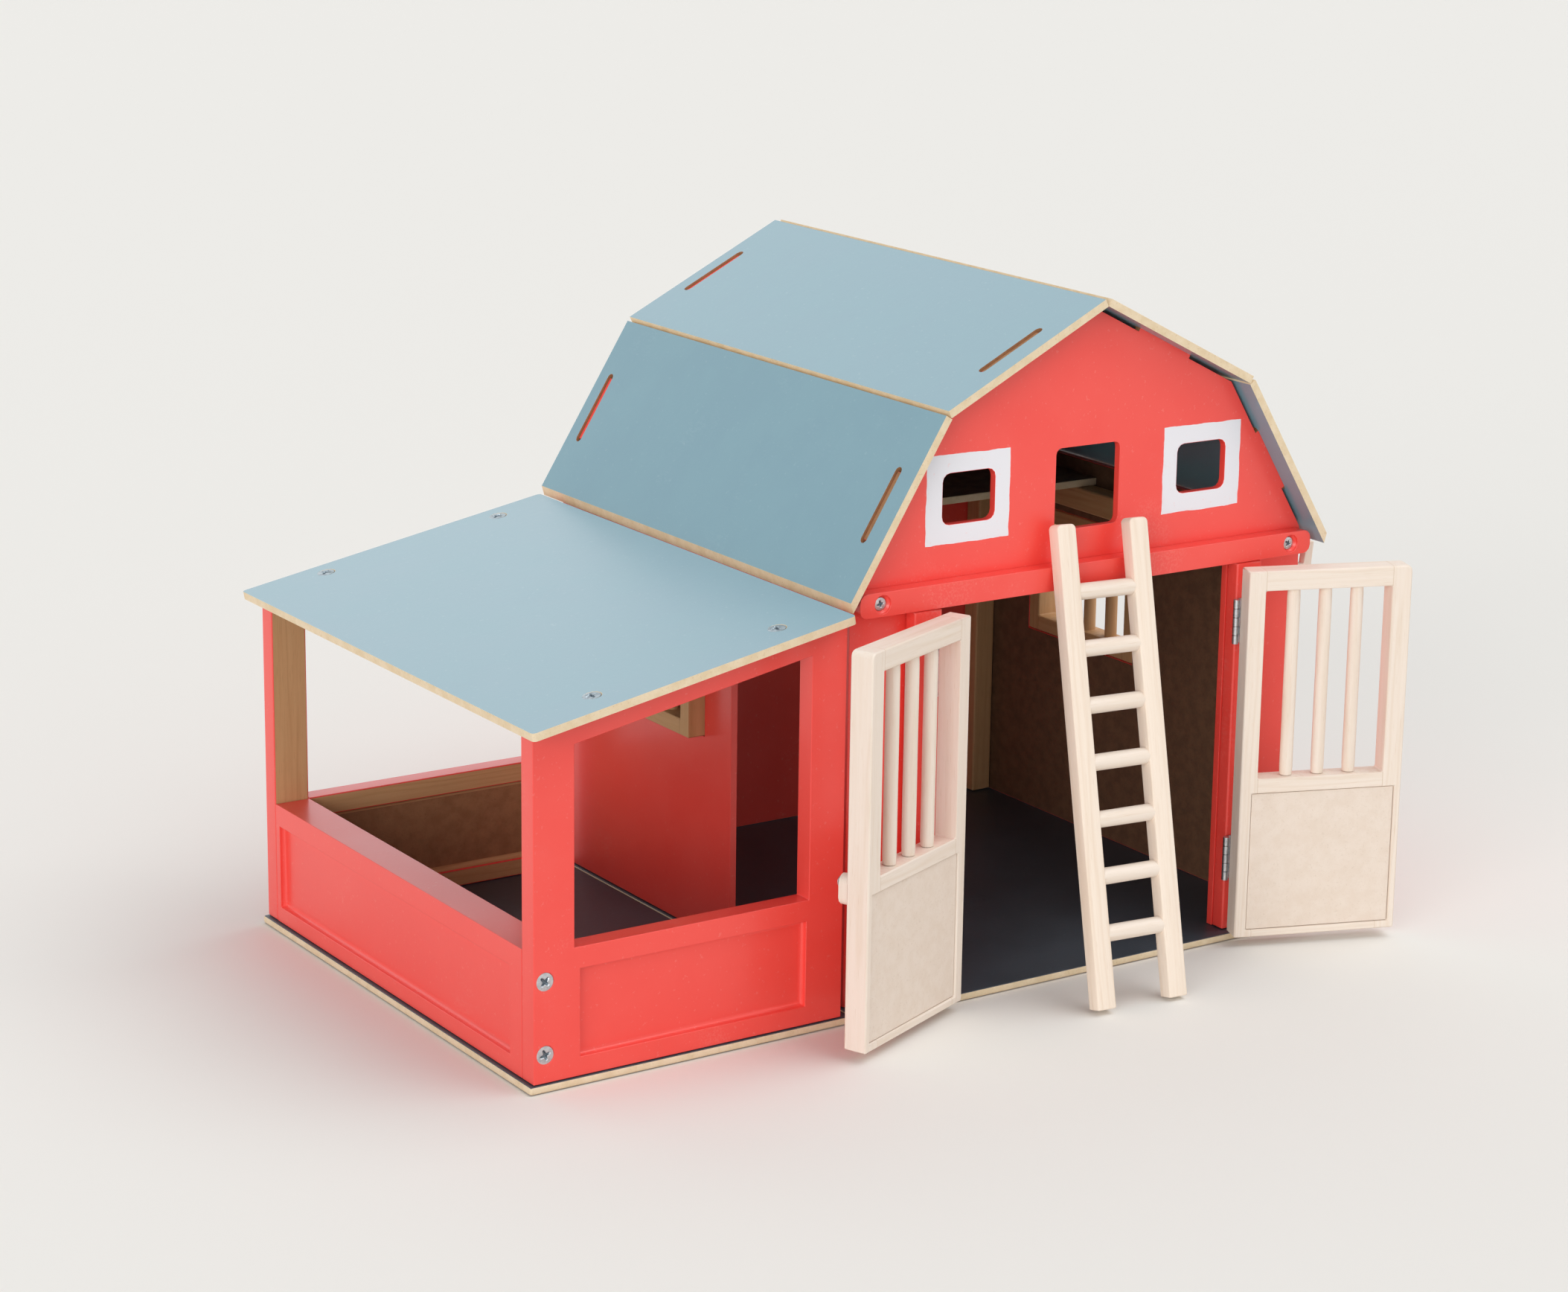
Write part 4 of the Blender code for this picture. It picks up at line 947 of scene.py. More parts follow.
@dataclass(frozen=True)
class CrossScrew:
    """A countersunk screw with a cross recess, its head's middle at nought and its tip below.

    Shares are of the head's radius, of an arm's half width or length, or of the recess's depth.
    """

    head_radius: float = 0.00415
    head_height: float = 0.0024
    shank_radius: float = 0.0015
    length: float = 0.0110
    dome: float = 0.00025
    arm_half_width: float = 0.00078
    arm_length: float = 0.0027
    recess: float = 0.0013
    arm_root: ClassVar[float] = 1.15
    arm_taper: ClassVar[float] = 0.45
    wall_share: ClassVar[float] = 0.35
    tip_share: ClassVar[float] = 0.5
    pit_reach: ClassVar[float] = 1.3
    pit_share: ClassVar[float] = 0.2
    sunk_shares: ClassVar[Span] = (0.25, 1.05)
    eye: ClassVar[float] = 0.001
    head_shares: ClassVar[Span] = (0.03, 0.97)
    rim: ClassVar[float] = 0.00025
    point: ClassVar[float] = 0.00002
    point_start: ClassVar[Span] = (0.4, 0.97)
    head_rows: ClassVar[int] = 30
    shank_rows: ClassVar[int] = 28
    sides: ClassVar[int] = 56

    def arm(self, along: np.ndarray, aside: np.ndarray) -> np.ndarray:
        """Find one arm's depth: full on its middle line, and nothing at its half width and its end.

        Args:
            along: Distances from the middle along the arm.
            aside: Distances from its middle line.

        Returns:
            The depths, from 0 to 1.
        """
        share = np.clip(np.abs(along) / self.arm_length, 0, 1)
        wide = self.arm_half_width * (self.arm_root - self.arm_taper * share)
        side = np.clip((wide - np.abs(aside)) / (self.wall_share * self.arm_half_width), 0, 1)
        tip = np.clip((self.arm_length - np.abs(along)) / (self.tip_share * self.arm_length), 0, 1)
        return side * np.sqrt(tip)

    def cross(self, x: np.ndarray, y: np.ndarray) -> np.ndarray:
        """Sink the deeper of two crossing arms, with a small pit where they meet.

        Args:
            x: Places on the head along one arm.
            y: The same along the other.

        Returns:
            The depths in metres.
        """
        pit = np.exp(-(x ** 2 + y ** 2) / (self.arm_half_width * self.pit_reach) ** 2)
        both = np.maximum(self.arm(x, y), self.arm(y, x))
        return self.recess * ((1 - self.pit_share) * both + self.pit_share * pit)

    def sunk(self, places: np.ndarray) -> np.ndarray:
        """Tell which places on the screw lie in its recess.

        Args:
            places: The places in the screw's own frame, one row each.

        Returns:
            1 in the recess and 0 elsewhere.
        """
        share = -places[:, 2] / self.recess
        deep = (share > self.sunk_shares[0]) & (share < self.sunk_shares[1])
        return (deep & (np.hypot(places[:, 0], places[:, 1]) < self.arm_length)).astype(np.int32)

    def surface(self) -> Surface:
        """Turn the domed head, its cone and its shank; the dome drops with the radius squared.

        Returns:
            The points and the faces.
        """
        share = np.concatenate([[self.eye], np.linspace(*self.head_shares, self.head_rows), [1.0]])
        top = np.stack([share * self.head_radius, self.dome * (1 - share ** 2)], axis=-1)
        cone = np.array([[self.head_radius, -self.rim], [self.shank_radius, -self.head_height]])
        depth = np.linspace(-self.head_height, -self.length + self.shank_radius, self.shank_rows)
        shank = np.stack([np.full_like(depth, self.shank_radius), depth], axis=-1)[1:]
        start = np.array([self.shank_radius, -self.length]) * self.point_start
        profile = np.concatenate([top, cone, shank, [start, [self.point, -self.length]]])
        return turned(profile, self.sides, self.cross)


LEAF_SCREW = CrossScrew(head_radius=0.0016, head_height=0.0004, shank_radius=0.0006, length=0.0009,
                        dome=0.0003, arm_half_width=0.0003, arm_length=0.0011, recess=0.0003)
BUTTON_SCREW = CrossScrew(head_radius=0.0025, head_height=0.0012, shank_radius=0.0012, length=0.0110,
                          dome=0.0005, arm_half_width=0.0004, arm_length=0.0016, recess=0.0007)
BEAM_SCREW = CrossScrew(head_radius=0.0030, head_height=0.0018, shank_radius=0.0014, length=0.0100,
                        dome=0.0002, arm_half_width=0.00055, arm_length=0.0019, recess=0.0010)


@dataclass(frozen=True)
class PanelCove:
    """The paint-filled corner round a sunk panel: a quarter-circle hollow along four sides."""

    radius: float
    sink_share: float = 0.06
    bend_points: int = 7

    def surface(self, half_width: float, half_height: float) -> Surface:
        """Carry the hollow's section round the panel's rectangle with mitred corners.

        The section runs from the side wall to the panel on a quarter circle about the open corner, and
        back through the solid corner.

        Args:
            half_width: Half the panel's width, to the side wall.
            half_height: Half its height.

        Returns:
            The points and the faces, the panel's face at Z nought and its outside up.
        """
        bend = np.linspace(0, pi / 2, self.bend_points)
        sink = -self.sink_share * self.radius
        section_in = np.concatenate([self.radius * (1 - np.cos(bend)), [self.radius, sink]])
        section_up = np.concatenate([self.radius * (1 - np.sin(bend)), [sink, sink]])
        signs = np.array([[1, 1], [-1, 1], [-1, -1], [1, -1]])
        x = signs[:, :1] * (half_width - section_in)
        y = signs[:, 1:] * (half_height - section_in)
        z = np.broadcast_to(section_up, x.shape)
        points = np.stack([x, y, z], axis=-1).reshape(-1, 3)
        return points, grid_faces(len(signs), len(section_in), closed=True)


@dataclass(frozen=True)
class Facing:
    """The material of the faces of a board that look one way.

    A face looks that way when the cosine of the angle between the two is above the reach.
    """

    direction: Point
    material: Material
    reach: float = 0.8


def both_faces(out: Point, material: Material) -> tuple[Facing, Facing]:
    """Give the two faces of a board, of which one looks out, the same finish."""
    return Facing(out, material), Facing((-out[0], -out[1], -out[2]), material)


def dress_board(node: str, body: str, edges: Material, facings: tuple[Facing, ...] = (),
                arris: float = 0.0003, arris_slot: int = 0) -> bpy.types.Object:
    """Replace a CAD board with its welded copy, eased at its arrises and finished face by face.

    Args:
        node: The CAD node.
        body: The CAD body that it belongs to.
        edges: The material of the faces that no facing names.
        facings: The finishes of its faces by direction.
        arris: The width of the eased arrises.
        arris_slot: The number of their finish, or AS_BESIDE.

    Returns:
        The piece.
    """
    shell = bmesh.new()
    shell.from_mesh(frame["nodes"][node].data)
    bmesh.ops.remove_doubles(shell, verts=shell.verts, dist=WELD_GAP)
    bmesh.ops.dissolve_limit(shell, angle_limit=FLAT_ANGLE, verts=shell.verts, edges=shell.edges)
    shell.verts.index_update()
    verts = [tuple(vertex.co) for vertex in shell.verts]
    faces = [[vertex.index for vertex in face.verts] for face in shell.faces]
    shell.free()
    mesh = bpy.data.meshes.new(node + "_finished")
    mesh.from_pydata(verts, [], faces)
    normals = read_rows(mesh.polygons, "normal")
    slots = np.zeros(len(mesh.polygons), dtype=np.int32)
    mesh.materials.append(edges)
    for number, facing in enumerate(facings, start=1):
        mesh.materials.append(facing.material)
        slots[normals @ np.array(facing.direction) > facing.reach] = number
    mesh.polygons.foreach_set("material_index", slots)
    mesh.shade_smooth()
    piece = add_object(node + "_finished", mesh)
    if arris:
        ease = piece.modifiers.new("eased_arrises", "BEVEL")
        ease.width = arris
        ease.segments = 2
        ease.limit_method = "ANGLE"
        ease.angle_limit = ARRIS_ANGLE
        ease.material = arris_slot
        ease.loop_slide = False
    else:
        mesh.set_sharp_from_angle(angle=ARRIS_ANGLE)
    level = piece.modifiers.new("level_faces", "WEIGHTED_NORMAL")
    level.keep_sharp = True
    level.weight = 100
    settle(piece, body, (node,))
    return piece


def add_screw(node: str, body: str, axis: Coords, screw: CrossScrew, spin: float = 0.5,
              sink: float = 0.0, plate: SteelFinish = ZINC) -> None:
    """Drive a cross-recess screw in place of its CAD node.

    Args:
        node: The CAD node.
        body: Its body.
        axis: Either way along the screw; the head is at the end with more spread.
        screw: The screw's sizes.
        spin: How far the recess is turned, in radians.
        sink: How much deeper than the CAD head it is driven.
        plate: The finish of its head.
    """
    points = node_points(node)
    out = Vector(axis).normalized()
    along = points @ np.array(out)
    head = points[along > along.max() - END_BAND]
    foot = points[along < along.min() + END_BAND]
    if np.ptp(foot, axis=0).max() > np.ptp(head, axis=0).max():
        head, out = foot, -out
    side = out.orthogonal().normalized()
    turn = axes_frame(side, out.cross(side), out, Vector(head.mean(axis=0)) - out * sink)
    turn = turn @ Matrix.Rotation(spin, 4, "Z")
    verts, faces = screw.surface()
    surface = (fitted(verts, turn), faces)
    mesh = add_surface(node + "_driven", surface, plate.material(), body, (node,)).data
    # The recess's faces take the darker zinc: painted shade in the cross.
    mesh.materials.append(RECESS_SHADE.material())
    places = unfitted(read_rows(mesh.polygons, "center"), turn)
    mesh.polygons.foreach_set("material_index", screw.sunk(places))


class Assembly(ABC):
    """One sub-assembly of the toy."""

    @abstractmethod
    def build(self) -> None:
        """Make its pieces and set them on their bodies."""


@dataclass
class MainBarn(Assembly):
    """The red barn: its floor, walls, beam, jambs, corner posts and loft."""

    window_aside: float = 0.0689
    window_height: float = 0.2393
    border_half_width: float = 0.02355
    border_half_height: float = 0.0209
    timber_arris: float = 0.0005
    window_arris: float = 0.0002
    lip_arris: float = 0.0012
    member: float = 0.0080
    tab_reach: float = 0.995

    def build(self) -> None:
        """Dress every board and timber of the barn."""
        self.build_boards()
        self.build_timbers()
        self.build_windows()

    def build_boards(self) -> None:
        """Dress the floor, the four walls and the loft floor."""
        # brown here is the darkened inner board: painted shade inside the barn.
        brown, edge, red, bare = SHADE_DARKENED_BROWN.material(), EDGE.material(), RED.material(), BROWN.material()
        floor = (Facing(UP, NAVY.material()), Facing(DOWN, bare))
        dress_board("main_floor", "barn", edge, floor, self.lip_arris, AS_BESIDE)
        low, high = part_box("front_wall")
        border = Border(middle=(low.x + high.x) / 2, window_x=self.window_aside,
                        window_z=self.window_height, half_width=self.border_half_width,
                        half_height=self.border_half_height)
        gable = replace(RED, name="gable_front_paint", border=border)
        # The tab ends that sit deep in the roof's slots get the bare brown board instead of the wall's red
        # edges: painted shade in the slots.
        shaded_tab_ends = (Facing(slope_way(side, slope), bare, self.tab_reach)
                    for side in (-1, 1) for slope in (GambrelRoof.upper_slope, GambrelRoof.lower_slope))
        faces = (Facing(FRONT, gable.material()), Facing(REAR, brown), *shaded_tab_ends)
        dress_board("front_wall", "barn", red, faces)
        dress_board("rear_wall", "barn", red)
        dress_board("left_wall", "barn", red, (Facing(RIGHT, brown),))
        dress_board("right_wall", "barn", red, (Facing(LEFT, brown),))
        dress_board("loft_floor", "barn", edge, both_faces(UP, brown))

    def build_timbers(self) -> None:
        """Dress the beam, jambs, posts, rails and eave brackets."""
        upright = SHADE_DARKENED_WOOD.material(Way.UPRIGHT.turn(), "upright")
        deep = SHADE_DARKENED_WOOD.material(Way.DEEP.turn(), "deep")
        woods = {name: RED.material() for name in ("front_beam", "left_jamb", "right_jamb")}
        for side in ("left_", "right_"):
            woods |= {side + "front_post": upright, side + "rear_post": upright, side + "loft_rail": deep}
        for name, wood in woods.items():
            dress_board(name, "barn", wood, arris=self.timber_arris)
        for end in ("front", "rear"):
            dress_board(end + "_eave_bracket", "barn", PALE_WOOD.material(Way.UPRIGHT.turn(), "bracket"))

    def build_windows(self) -> None:
        """Dress the two barred side windows, their fibres along each member and bar."""
        for name in ("left_window", "right_window"):
            low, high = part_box(name)
            place = axes_frame((0, 1, 0), (1, 0, 0), (0, 0, 1), low)
            size = high - low
            joint = Joinery(self.member, size.y - self.member, self.member, size.z - self.member)
            # The side windows take the shade-darkened wood: painted shade on their frames.
            wood = replace(SHADE_DARKENED_WOOD, name=name + "_wood", joinery=joint)
            dress_board(name, "barn", wood.material(place), arris=self.window_arris)


@dataclass
class GambrelRoof(Assembly):
    """The four loose roof panels, painted on both faces with bare sawn edges."""

    upper_slope: float = 26.70
    lower_slope: float = 58.15
    outer_cut: float = -0.0012
    inner_cut: float = 0.0022
    rim: float = 0.0030
    wall_reach: float = 0.5

    def build(self) -> None:
        """Dress each panel on its own body, then slant its eave and darken its slot walls with painted
        shade.
        """
        for side, sign in (("left", -1), ("right", 1)):
            for level, slope in (("upper", self.upper_slope), ("lower", self.lower_slope)):
                name = side + "_" + level + "_roof"
                out = slope_way(sign, slope)
                down = np.array((sign * out[2], 0.0, -sign * out[0]))
                mesh = dress_board(name, name, EDGE.material(), both_faces(out, ROOF_BLUE.material())).data
                if level == "lower":
                    self.cut_eave(mesh, np.array(out), down)
                self.shade_slot_walls(mesh, np.array(out), down)

    def cut_eave(self, mesh: bpy.types.Mesh, out: np.ndarray, down: np.ndarray) -> None:
        """Slant the eave's end: its outer corners move up the slope, and its inner ones down it.

        Args:
            mesh: The panel's mesh.
            out: The way out of its outer face.
            down: The way down its slope.
        """
        points = read_rows(mesh.vertices, "co")
        along, height = points @ down, points @ out
        outer = height > (height.max() + height.min()) / 2
        move = np.where(outer, self.outer_cut, self.inner_cut) * (along > along.max() - END_BAND)
        mesh.vertices.foreach_set("co", (points + move[:, None] * down).ravel())

    def shade_slot_walls(self, mesh: bpy.types.Mesh, out: np.ndarray, down: np.ndarray) -> None:
        """Give the slots' walls the bare brown board, darker than the tan outer edges, as painted shade in
        the narrow slots: the narrow faces that lie further than the rim from every side.

        Args:
            mesh: The panel's mesh.
            out: The way out of its outer face.
            down: The way down its slope.
        """
        # Brown slot walls: painted shade inside the slots.
        mesh.materials.append(BROWN.material())
        centres, normals = read_rows(mesh.polygons, "center"), read_rows(mesh.polygons, "normal")
        places = np.stack([centres @ down, centres[:, 1]], axis=-1)
        inside = np.minimum(places - places.min(axis=0), places.max(axis=0) - places).min(axis=1) > self.rim
        slots = np.zeros(len(mesh.polygons), dtype=np.int32)
        mesh.polygons.foreach_get("material_index", slots)
        slots[inside & (np.abs(normals @ out) < self.wall_reach)] = len(mesh.materials) - 1
        mesh.polygons.foreach_set("material_index", slots)


@dataclass
class LeanTo(Assembly):
    """The open stall: floor, three low walls, posts and a flat sloping roof."""

    roof_slope: float = 10.50
    cove_radius: float = 0.0022
    cove_seat: float = 0.0003
    frame_arris: float = 0.0006
    stile: float = 0.0190
    hole_bottom: float = 0.0639
    hole_top: float = 0.1500

    def build(self) -> None:
        """Dress the boards and fill the corners of the sunk panels."""
        edge, brown, red, navy = (paint.material() for paint in (EDGE, BROWN, RED, NAVY))
        floor = (Facing(UP, navy), Facing(DOWN, brown), Facing(RIGHT, navy))
        dress_board("stall_floor", "barn", edge, floor, MainBarn.lip_arris, AS_BESIDE)
        roof = both_faces(slope_way(-1, self.roof_slope), ROOF_BLUE.material())
        dress_board("stall_roof", "barn", edge, roof)
        walls = {"stall_front": (FRONT, REAR, self.joined_wood("stall_front")),
                 "stall_rear": (REAR, FRONT, self.joined_wood("stall_rear")),
                 "stall_side": (LEFT, RIGHT, SHADE_DARKENED_WOOD.material(Way.DEEP.turn(), "deep"))}
        for name, (outside, inside, wood) in walls.items():
            dress_board(name + "_frame", "barn", red, (Facing(inside, wood),), arris=self.frame_arris)
            dress_board(name + "_panel", "barn", red, (Facing(inside, brown),))
            self.add_cove(name, "outer", outside, red)
            self.add_cove(name, "inner", inside, wood)

    def joined_wood(self, name: str) -> Material:
        """Make the bare wood of a wall's inner face, its fibres along each member.

        Args:
            name: The wall's name, before _frame and _panel.

        Returns:
            The material.
        """
        low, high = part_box(name + "_frame")
        joint = Joinery(self.stile, high.x - low.x - self.stile, self.hole_bottom, self.hole_top)
        wood = replace(SHADE_DARKENED_WOOD, name=name + "_inner_wood", joinery=joint)
        return wood.material(Matrix.Translation((low.x, low.y, 0)))

    def add_cove(self, name: str, side: str, outward: Point, material: Material) -> None:
        """Fill the corner between a sunk panel and its frame on one side.

        Args:
            name: The wall's name, before _frame and _panel.
            side: What the side is called.
            outward: The way that the panel's face looks there.
            material: The finish of the corner.
        """
        low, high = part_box(name + "_panel")
        half, out = (high - low) / 2, Vector(outward)
        across = Vector(UP).cross(out)
        place = axes_frame(across, Vector(UP), out, (low + high) / 2 + out * abs(half.dot(out)))
        cove = PanelCove(self.cove_radius)
        points, faces = cove.surface(abs(half.dot(across)) + self.cove_seat, half.z + self.cove_seat)
        add_surface(name + "_" + side + "_cove", (fitted(points, place), faces), material, "barn")


@dataclass
class SwingDoor(Assembly):
    """One barred door: joined frame, fibreboard panel, three dowels and two butt hinges.

    A bar's growth rings have their middle a heart's distance before it, and a step to the left for each
    unit of the bar's number. The screws' place is their share of a hinge leaf's width.
    """

    side: str
    hinge_stile: float = 0.00875
    free_stile: float = 0.0100
    top_rail: float = 0.0100
    mid_rail_top: float = 0.0812
    arris: float = 0.00035
    panel_arris: float = 0.0001
    bar_radius: float = 0.00325
    bars: int = 3
    bar_phase: float = 2.1
    heart_step: float = 0.0021
    heart: float = 0.03
    screw_place: float = 0.62
    screw_spacing: float = 0.0066

    @property
    def body(self) -> str:
        """Return the door's CAD body."""
        return self.side + "_door"

    @property
    def pin(self) -> np.ndarray:
        """Return the place of the hinge pin."""
        return np.array(find_joint(self.body + "_hinge")["pos_m"])

    def pattern(self) -> Matrix:
        """Find the door's own frame at rest.

        X is the main direction of the frame's points in plan, from the hinge to the free edge, and Z is up.

        Returns:
            The frame, with its origin at the frame's lower corner by the hinge.
        """
        points = node_points(self.body + "_frame")
        plan = points[:, :2] - self.pin[:2]
        values, ways = np.linalg.eigh(np.cov(plan.T))
        way = ways[:, int(np.argmax(values))]
        way = way if plan.mean(axis=0) @ way > 0 else -way
        x, y = self.pin[:2] + way * (plan @ way).min()
        across = Vector((way[0], way[1], 0))
        return axes_frame(across, Vector(UP).cross(across), Vector(UP), (x, y, points[:, 2].min()))

    def build(self) -> None:
        """Dress the frame and panel, turn the dowels and screw on the hinges."""
        place = self.pattern()
        points = unfitted(node_points(self.body + "_frame"), place)
        width, _, height = points.max(axis=0).tolist()
        joint = Joinery(self.hinge_stile, width - self.free_stile, self.mid_rail_top,
                        height - self.top_rail)
        wood = replace(PALE_WOOD, name=self.body + "_wood", joinery=joint)
        dress_board(self.body + "_frame", self.body, wood.material(place), arris=self.arris)
        dress_board(self.body + "_panel", self.body, PALE_BOARD.material(), arris=self.panel_arris)
        for number in range(1, self.bars + 1):
            self.turn_bar(number)
        for level in ("upper", "lower"):
            for leaf, body, turn in (("door", self.body, place), ("jamb", "barn", Matrix.Identity(4))):
                node = self.body + "_" + level + "_" + leaf + "_leaf"
                dress_board(node, body, ZINC.material(), arris=0.0)
                self.screw_leaf(node, body, turn)

    def turn_bar(self, number: int) -> None:
        """Turn one dowel in place of its CAD node.

        Args:
            number: The bar's number, from 1 at the hinge.
        """
        node = self.body + "_bar_" + str(number)
        low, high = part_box(node)
        middle = (low + high) / 2
        verts, faces = Dowel(self.bar_radius, high.z - low.z).surface(number * self.bar_phase)
        surface = (verts + np.array((middle.x, middle.y, low.z)), faces)
        grain = Way.UPRIGHT.turn()
        grain.translation = (middle.x - self.heart_step * number, middle.y - self.heart, 0)
        add_surface(node + "_turned", surface, PALE_WOOD.material(grain, node), self.body, (node,))

    def screw_leaf(self, node: str, body: str, turn: Matrix) -> None:
        """Set two small screws in the outer face of a hinge leaf.

        Args:
            node: The leaf's CAD node.
            body: Its body.
            turn: The frame whose Y axis is square to the leaf.
        """
        axes = np.array(turn.to_3x3())
        local = (node_points(node) - self.pin) @ axes
        aside = np.abs(local[:, 0])
        outer = local[aside > aside.max() - END_BAND]
        face = min(outer[:, 1].min(), outer[:, 1].max(), key=abs)
        middle = (local[:, 2].max() + local[:, 2].min()) / 2
        verts, faces = LEAF_SCREW.surface()
        out = -1.0 if face > 0 else 1.0
        head = np.stack([verts[:, 0], out * verts[:, 2], verts[:, 1]], axis=-1)
        spots = [np.array((outer[:, 0].mean() * self.screw_place, face, middle + step * self.screw_spacing))
                 for step in (-1, 1)]
        points = np.concatenate([(head + spot) @ axes.T + self.pin for spot in spots])
        faces = faces + [[corner + len(head) for corner in corners] for corners in faces]
        add_surface(node + "_screws", (points, faces), ZINC.material(), body)


@dataclass
class TurnButton(Assembly):
    """The wooden button on the left door's free edge, and its screw."""

    arris: float = 0.0007

    def build(self) -> None:
        """Dress the button and drive its screw."""
        wood = PALE_WOOD.material(Way.UPRIGHT.turn(), "button")
        dress_board("door_latch", "latch", wood, arris=self.arris)
        add_screw("latch_screw", "left_door", find_joint("latch_turn")["axis"], BUTTON_SCREW)


@dataclass
class Fixings(Assembly):
    """The countersunk screws of the lean-to and of the beam.

    Each spin is the angle of a cross in radians: a first part, and a part for each unit of its number.
    """

    roof_screws: int = 4
    wall_screws: int = 2
    roof_spin: Span = (0.0, 0.7)
    wall_spin: Span = (0.5, 1.1)
    beam_spin: Span = (0.2, 0.8)
    beam_sink: float = 0.0008

    def build(self) -> None:
        """Drive each screw along its own axis, with its cross at its own angle."""
        out = slope_way(-1, LeanTo.roof_slope)
        for number in range(1, self.roof_screws + 1):
            spin = self.roof_spin[0] + self.roof_spin[1] * number
            add_screw("roof_screw_" + str(number), "barn", out, CrossScrew(), spin, plate=DIMMED_ROOF_ZINC)
        for number in range(1, self.wall_screws + 1):
            spin = self.wall_spin[0] + self.wall_spin[1] * number
            add_screw("wall_screw_" + str(number), "barn", FRONT, CrossScrew(), spin)
            spin = self.beam_spin[0] + self.beam_spin[1] * number
            add_screw("beam_screw_" + str(number), "barn", FRONT, BEAM_SCREW, spin, self.beam_sink)


@dataclass
class LeaningLadder(Assembly):
    """The ladder: two planed rails and seven turned rungs.

    Its angles are in degrees. A heart is how far aside and along the middle of the grain is moved.
    """

    rail_width: float = 0.0102
    rung_radius: float = 0.0040
    first_rung: float = 0.0348
    last_rung_drop: float = 0.0320
    rungs: int = 7
    rung_phase: float = 1.7
    turn: float = 3.0
    lean: float = 13.4
    tilt: float = 1.05
    rail_heart: Span = (0.013, 0.02)
    rung_heart: Span = (0.011, 0.03)

    def pattern(self) -> tuple[Matrix, np.ndarray]:
        """Find the ladder's own frame: turned about Z, leant about X and tilted about Y.

        Returns:
            The frame, with its origin in the middle of the feet, and the sizes along its axes.
        """
        turn = Matrix.Rotation(-radians(self.turn), 3, "Z") @ Matrix.Rotation(-radians(self.lean), 3, "X")
        turn = turn @ Matrix.Rotation(radians(self.tilt), 3, "Y")
        local = node_points("ladder") @ np.array(turn)
        low, high = local.min(axis=0), local.max(axis=0)
        start = np.array(((low[0] + high[0]) / 2, (low[1] + high[1]) / 2, low[2]))
        place = turn.to_4x4()
        place.translation = np.array(turn) @ start
        return place, high - low

    def add_timber(self, name: str, surface: Surface, spot: Matrix, wood: WoodFinish, heart: Point) -> None:
        """Set one rail or rung in the ladder.

        Args:
            name: What it is called on the ladder.
            surface: Its points in its own frame, and its faces.
            spot: Its own frame, with Z along it.
            wood: Its finish.
            heart: Where the grain's origin is moved to.
        """
        grain = spot @ Way.UPRIGHT.turn() @ Matrix.Translation(heart)
        label = name.removesuffix("_rail")
        surface = (fitted(surface[0], spot), surface[1])
        add_surface("ladder_" + name, surface, wood.material(grain, label), "ladder", ("ladder",))

    def build(self) -> None:
        """Plane the rails and turn the rungs in place of the CAD ladder."""
        place, size = self.pattern()
        reach = (size[0] - self.rail_width) / 2
        aside, behind = self.rail_heart
        for name, side in (("left_rail", -1), ("right_rail", 1)):
            rail = Bar(self.rail_width, size[1], size[2]).surface()
            spot = place @ Matrix.Translation((side * reach, 0, 0))
            self.add_timber(name, rail, spot, LADDER_WOOD, (0, aside * side, behind))
        pitch = (size[2] - self.first_rung - self.last_rung_drop) / (self.rungs - 1)
        aside, behind = self.rung_heart
        for number in range(self.rungs):
            rung = Dowel(self.rung_radius, 2 * reach).surface(number * self.rung_phase)
            spot = place @ Matrix.Translation((-reach, 0, self.first_rung + pitch * number))
            spot = spot @ Matrix.Rotation(pi / 2, 4, "Y")
            self.add_timber("rung_" + str(number + 1), rung, spot, PALE_WOOD, (0, aside * number, behind))


@dataclass(frozen=True)
class Lamp:
    """A far, broad lamp that lights every spot alike.

    It stands toward a way from the toy and spreads over an angle in degrees. Its strength is its light on
    a surface square to it, where pi is a plain white.
    """

    name: str
    toward: Point
    spread: float
    strength: float

    def add(self) -> None:
        """Set the lamp."""
        lamp = bpy.data.lights.new(self.name, "SUN")
        lamp.angle = radians(self.spread)
        lamp.energy = self.strength
        holder = add_object(self.name, lamp)
        holder.location = self.toward
        holder.rotation_euler = (-Vector(self.toward)).to_track_quat("-Z", "Y").to_euler()


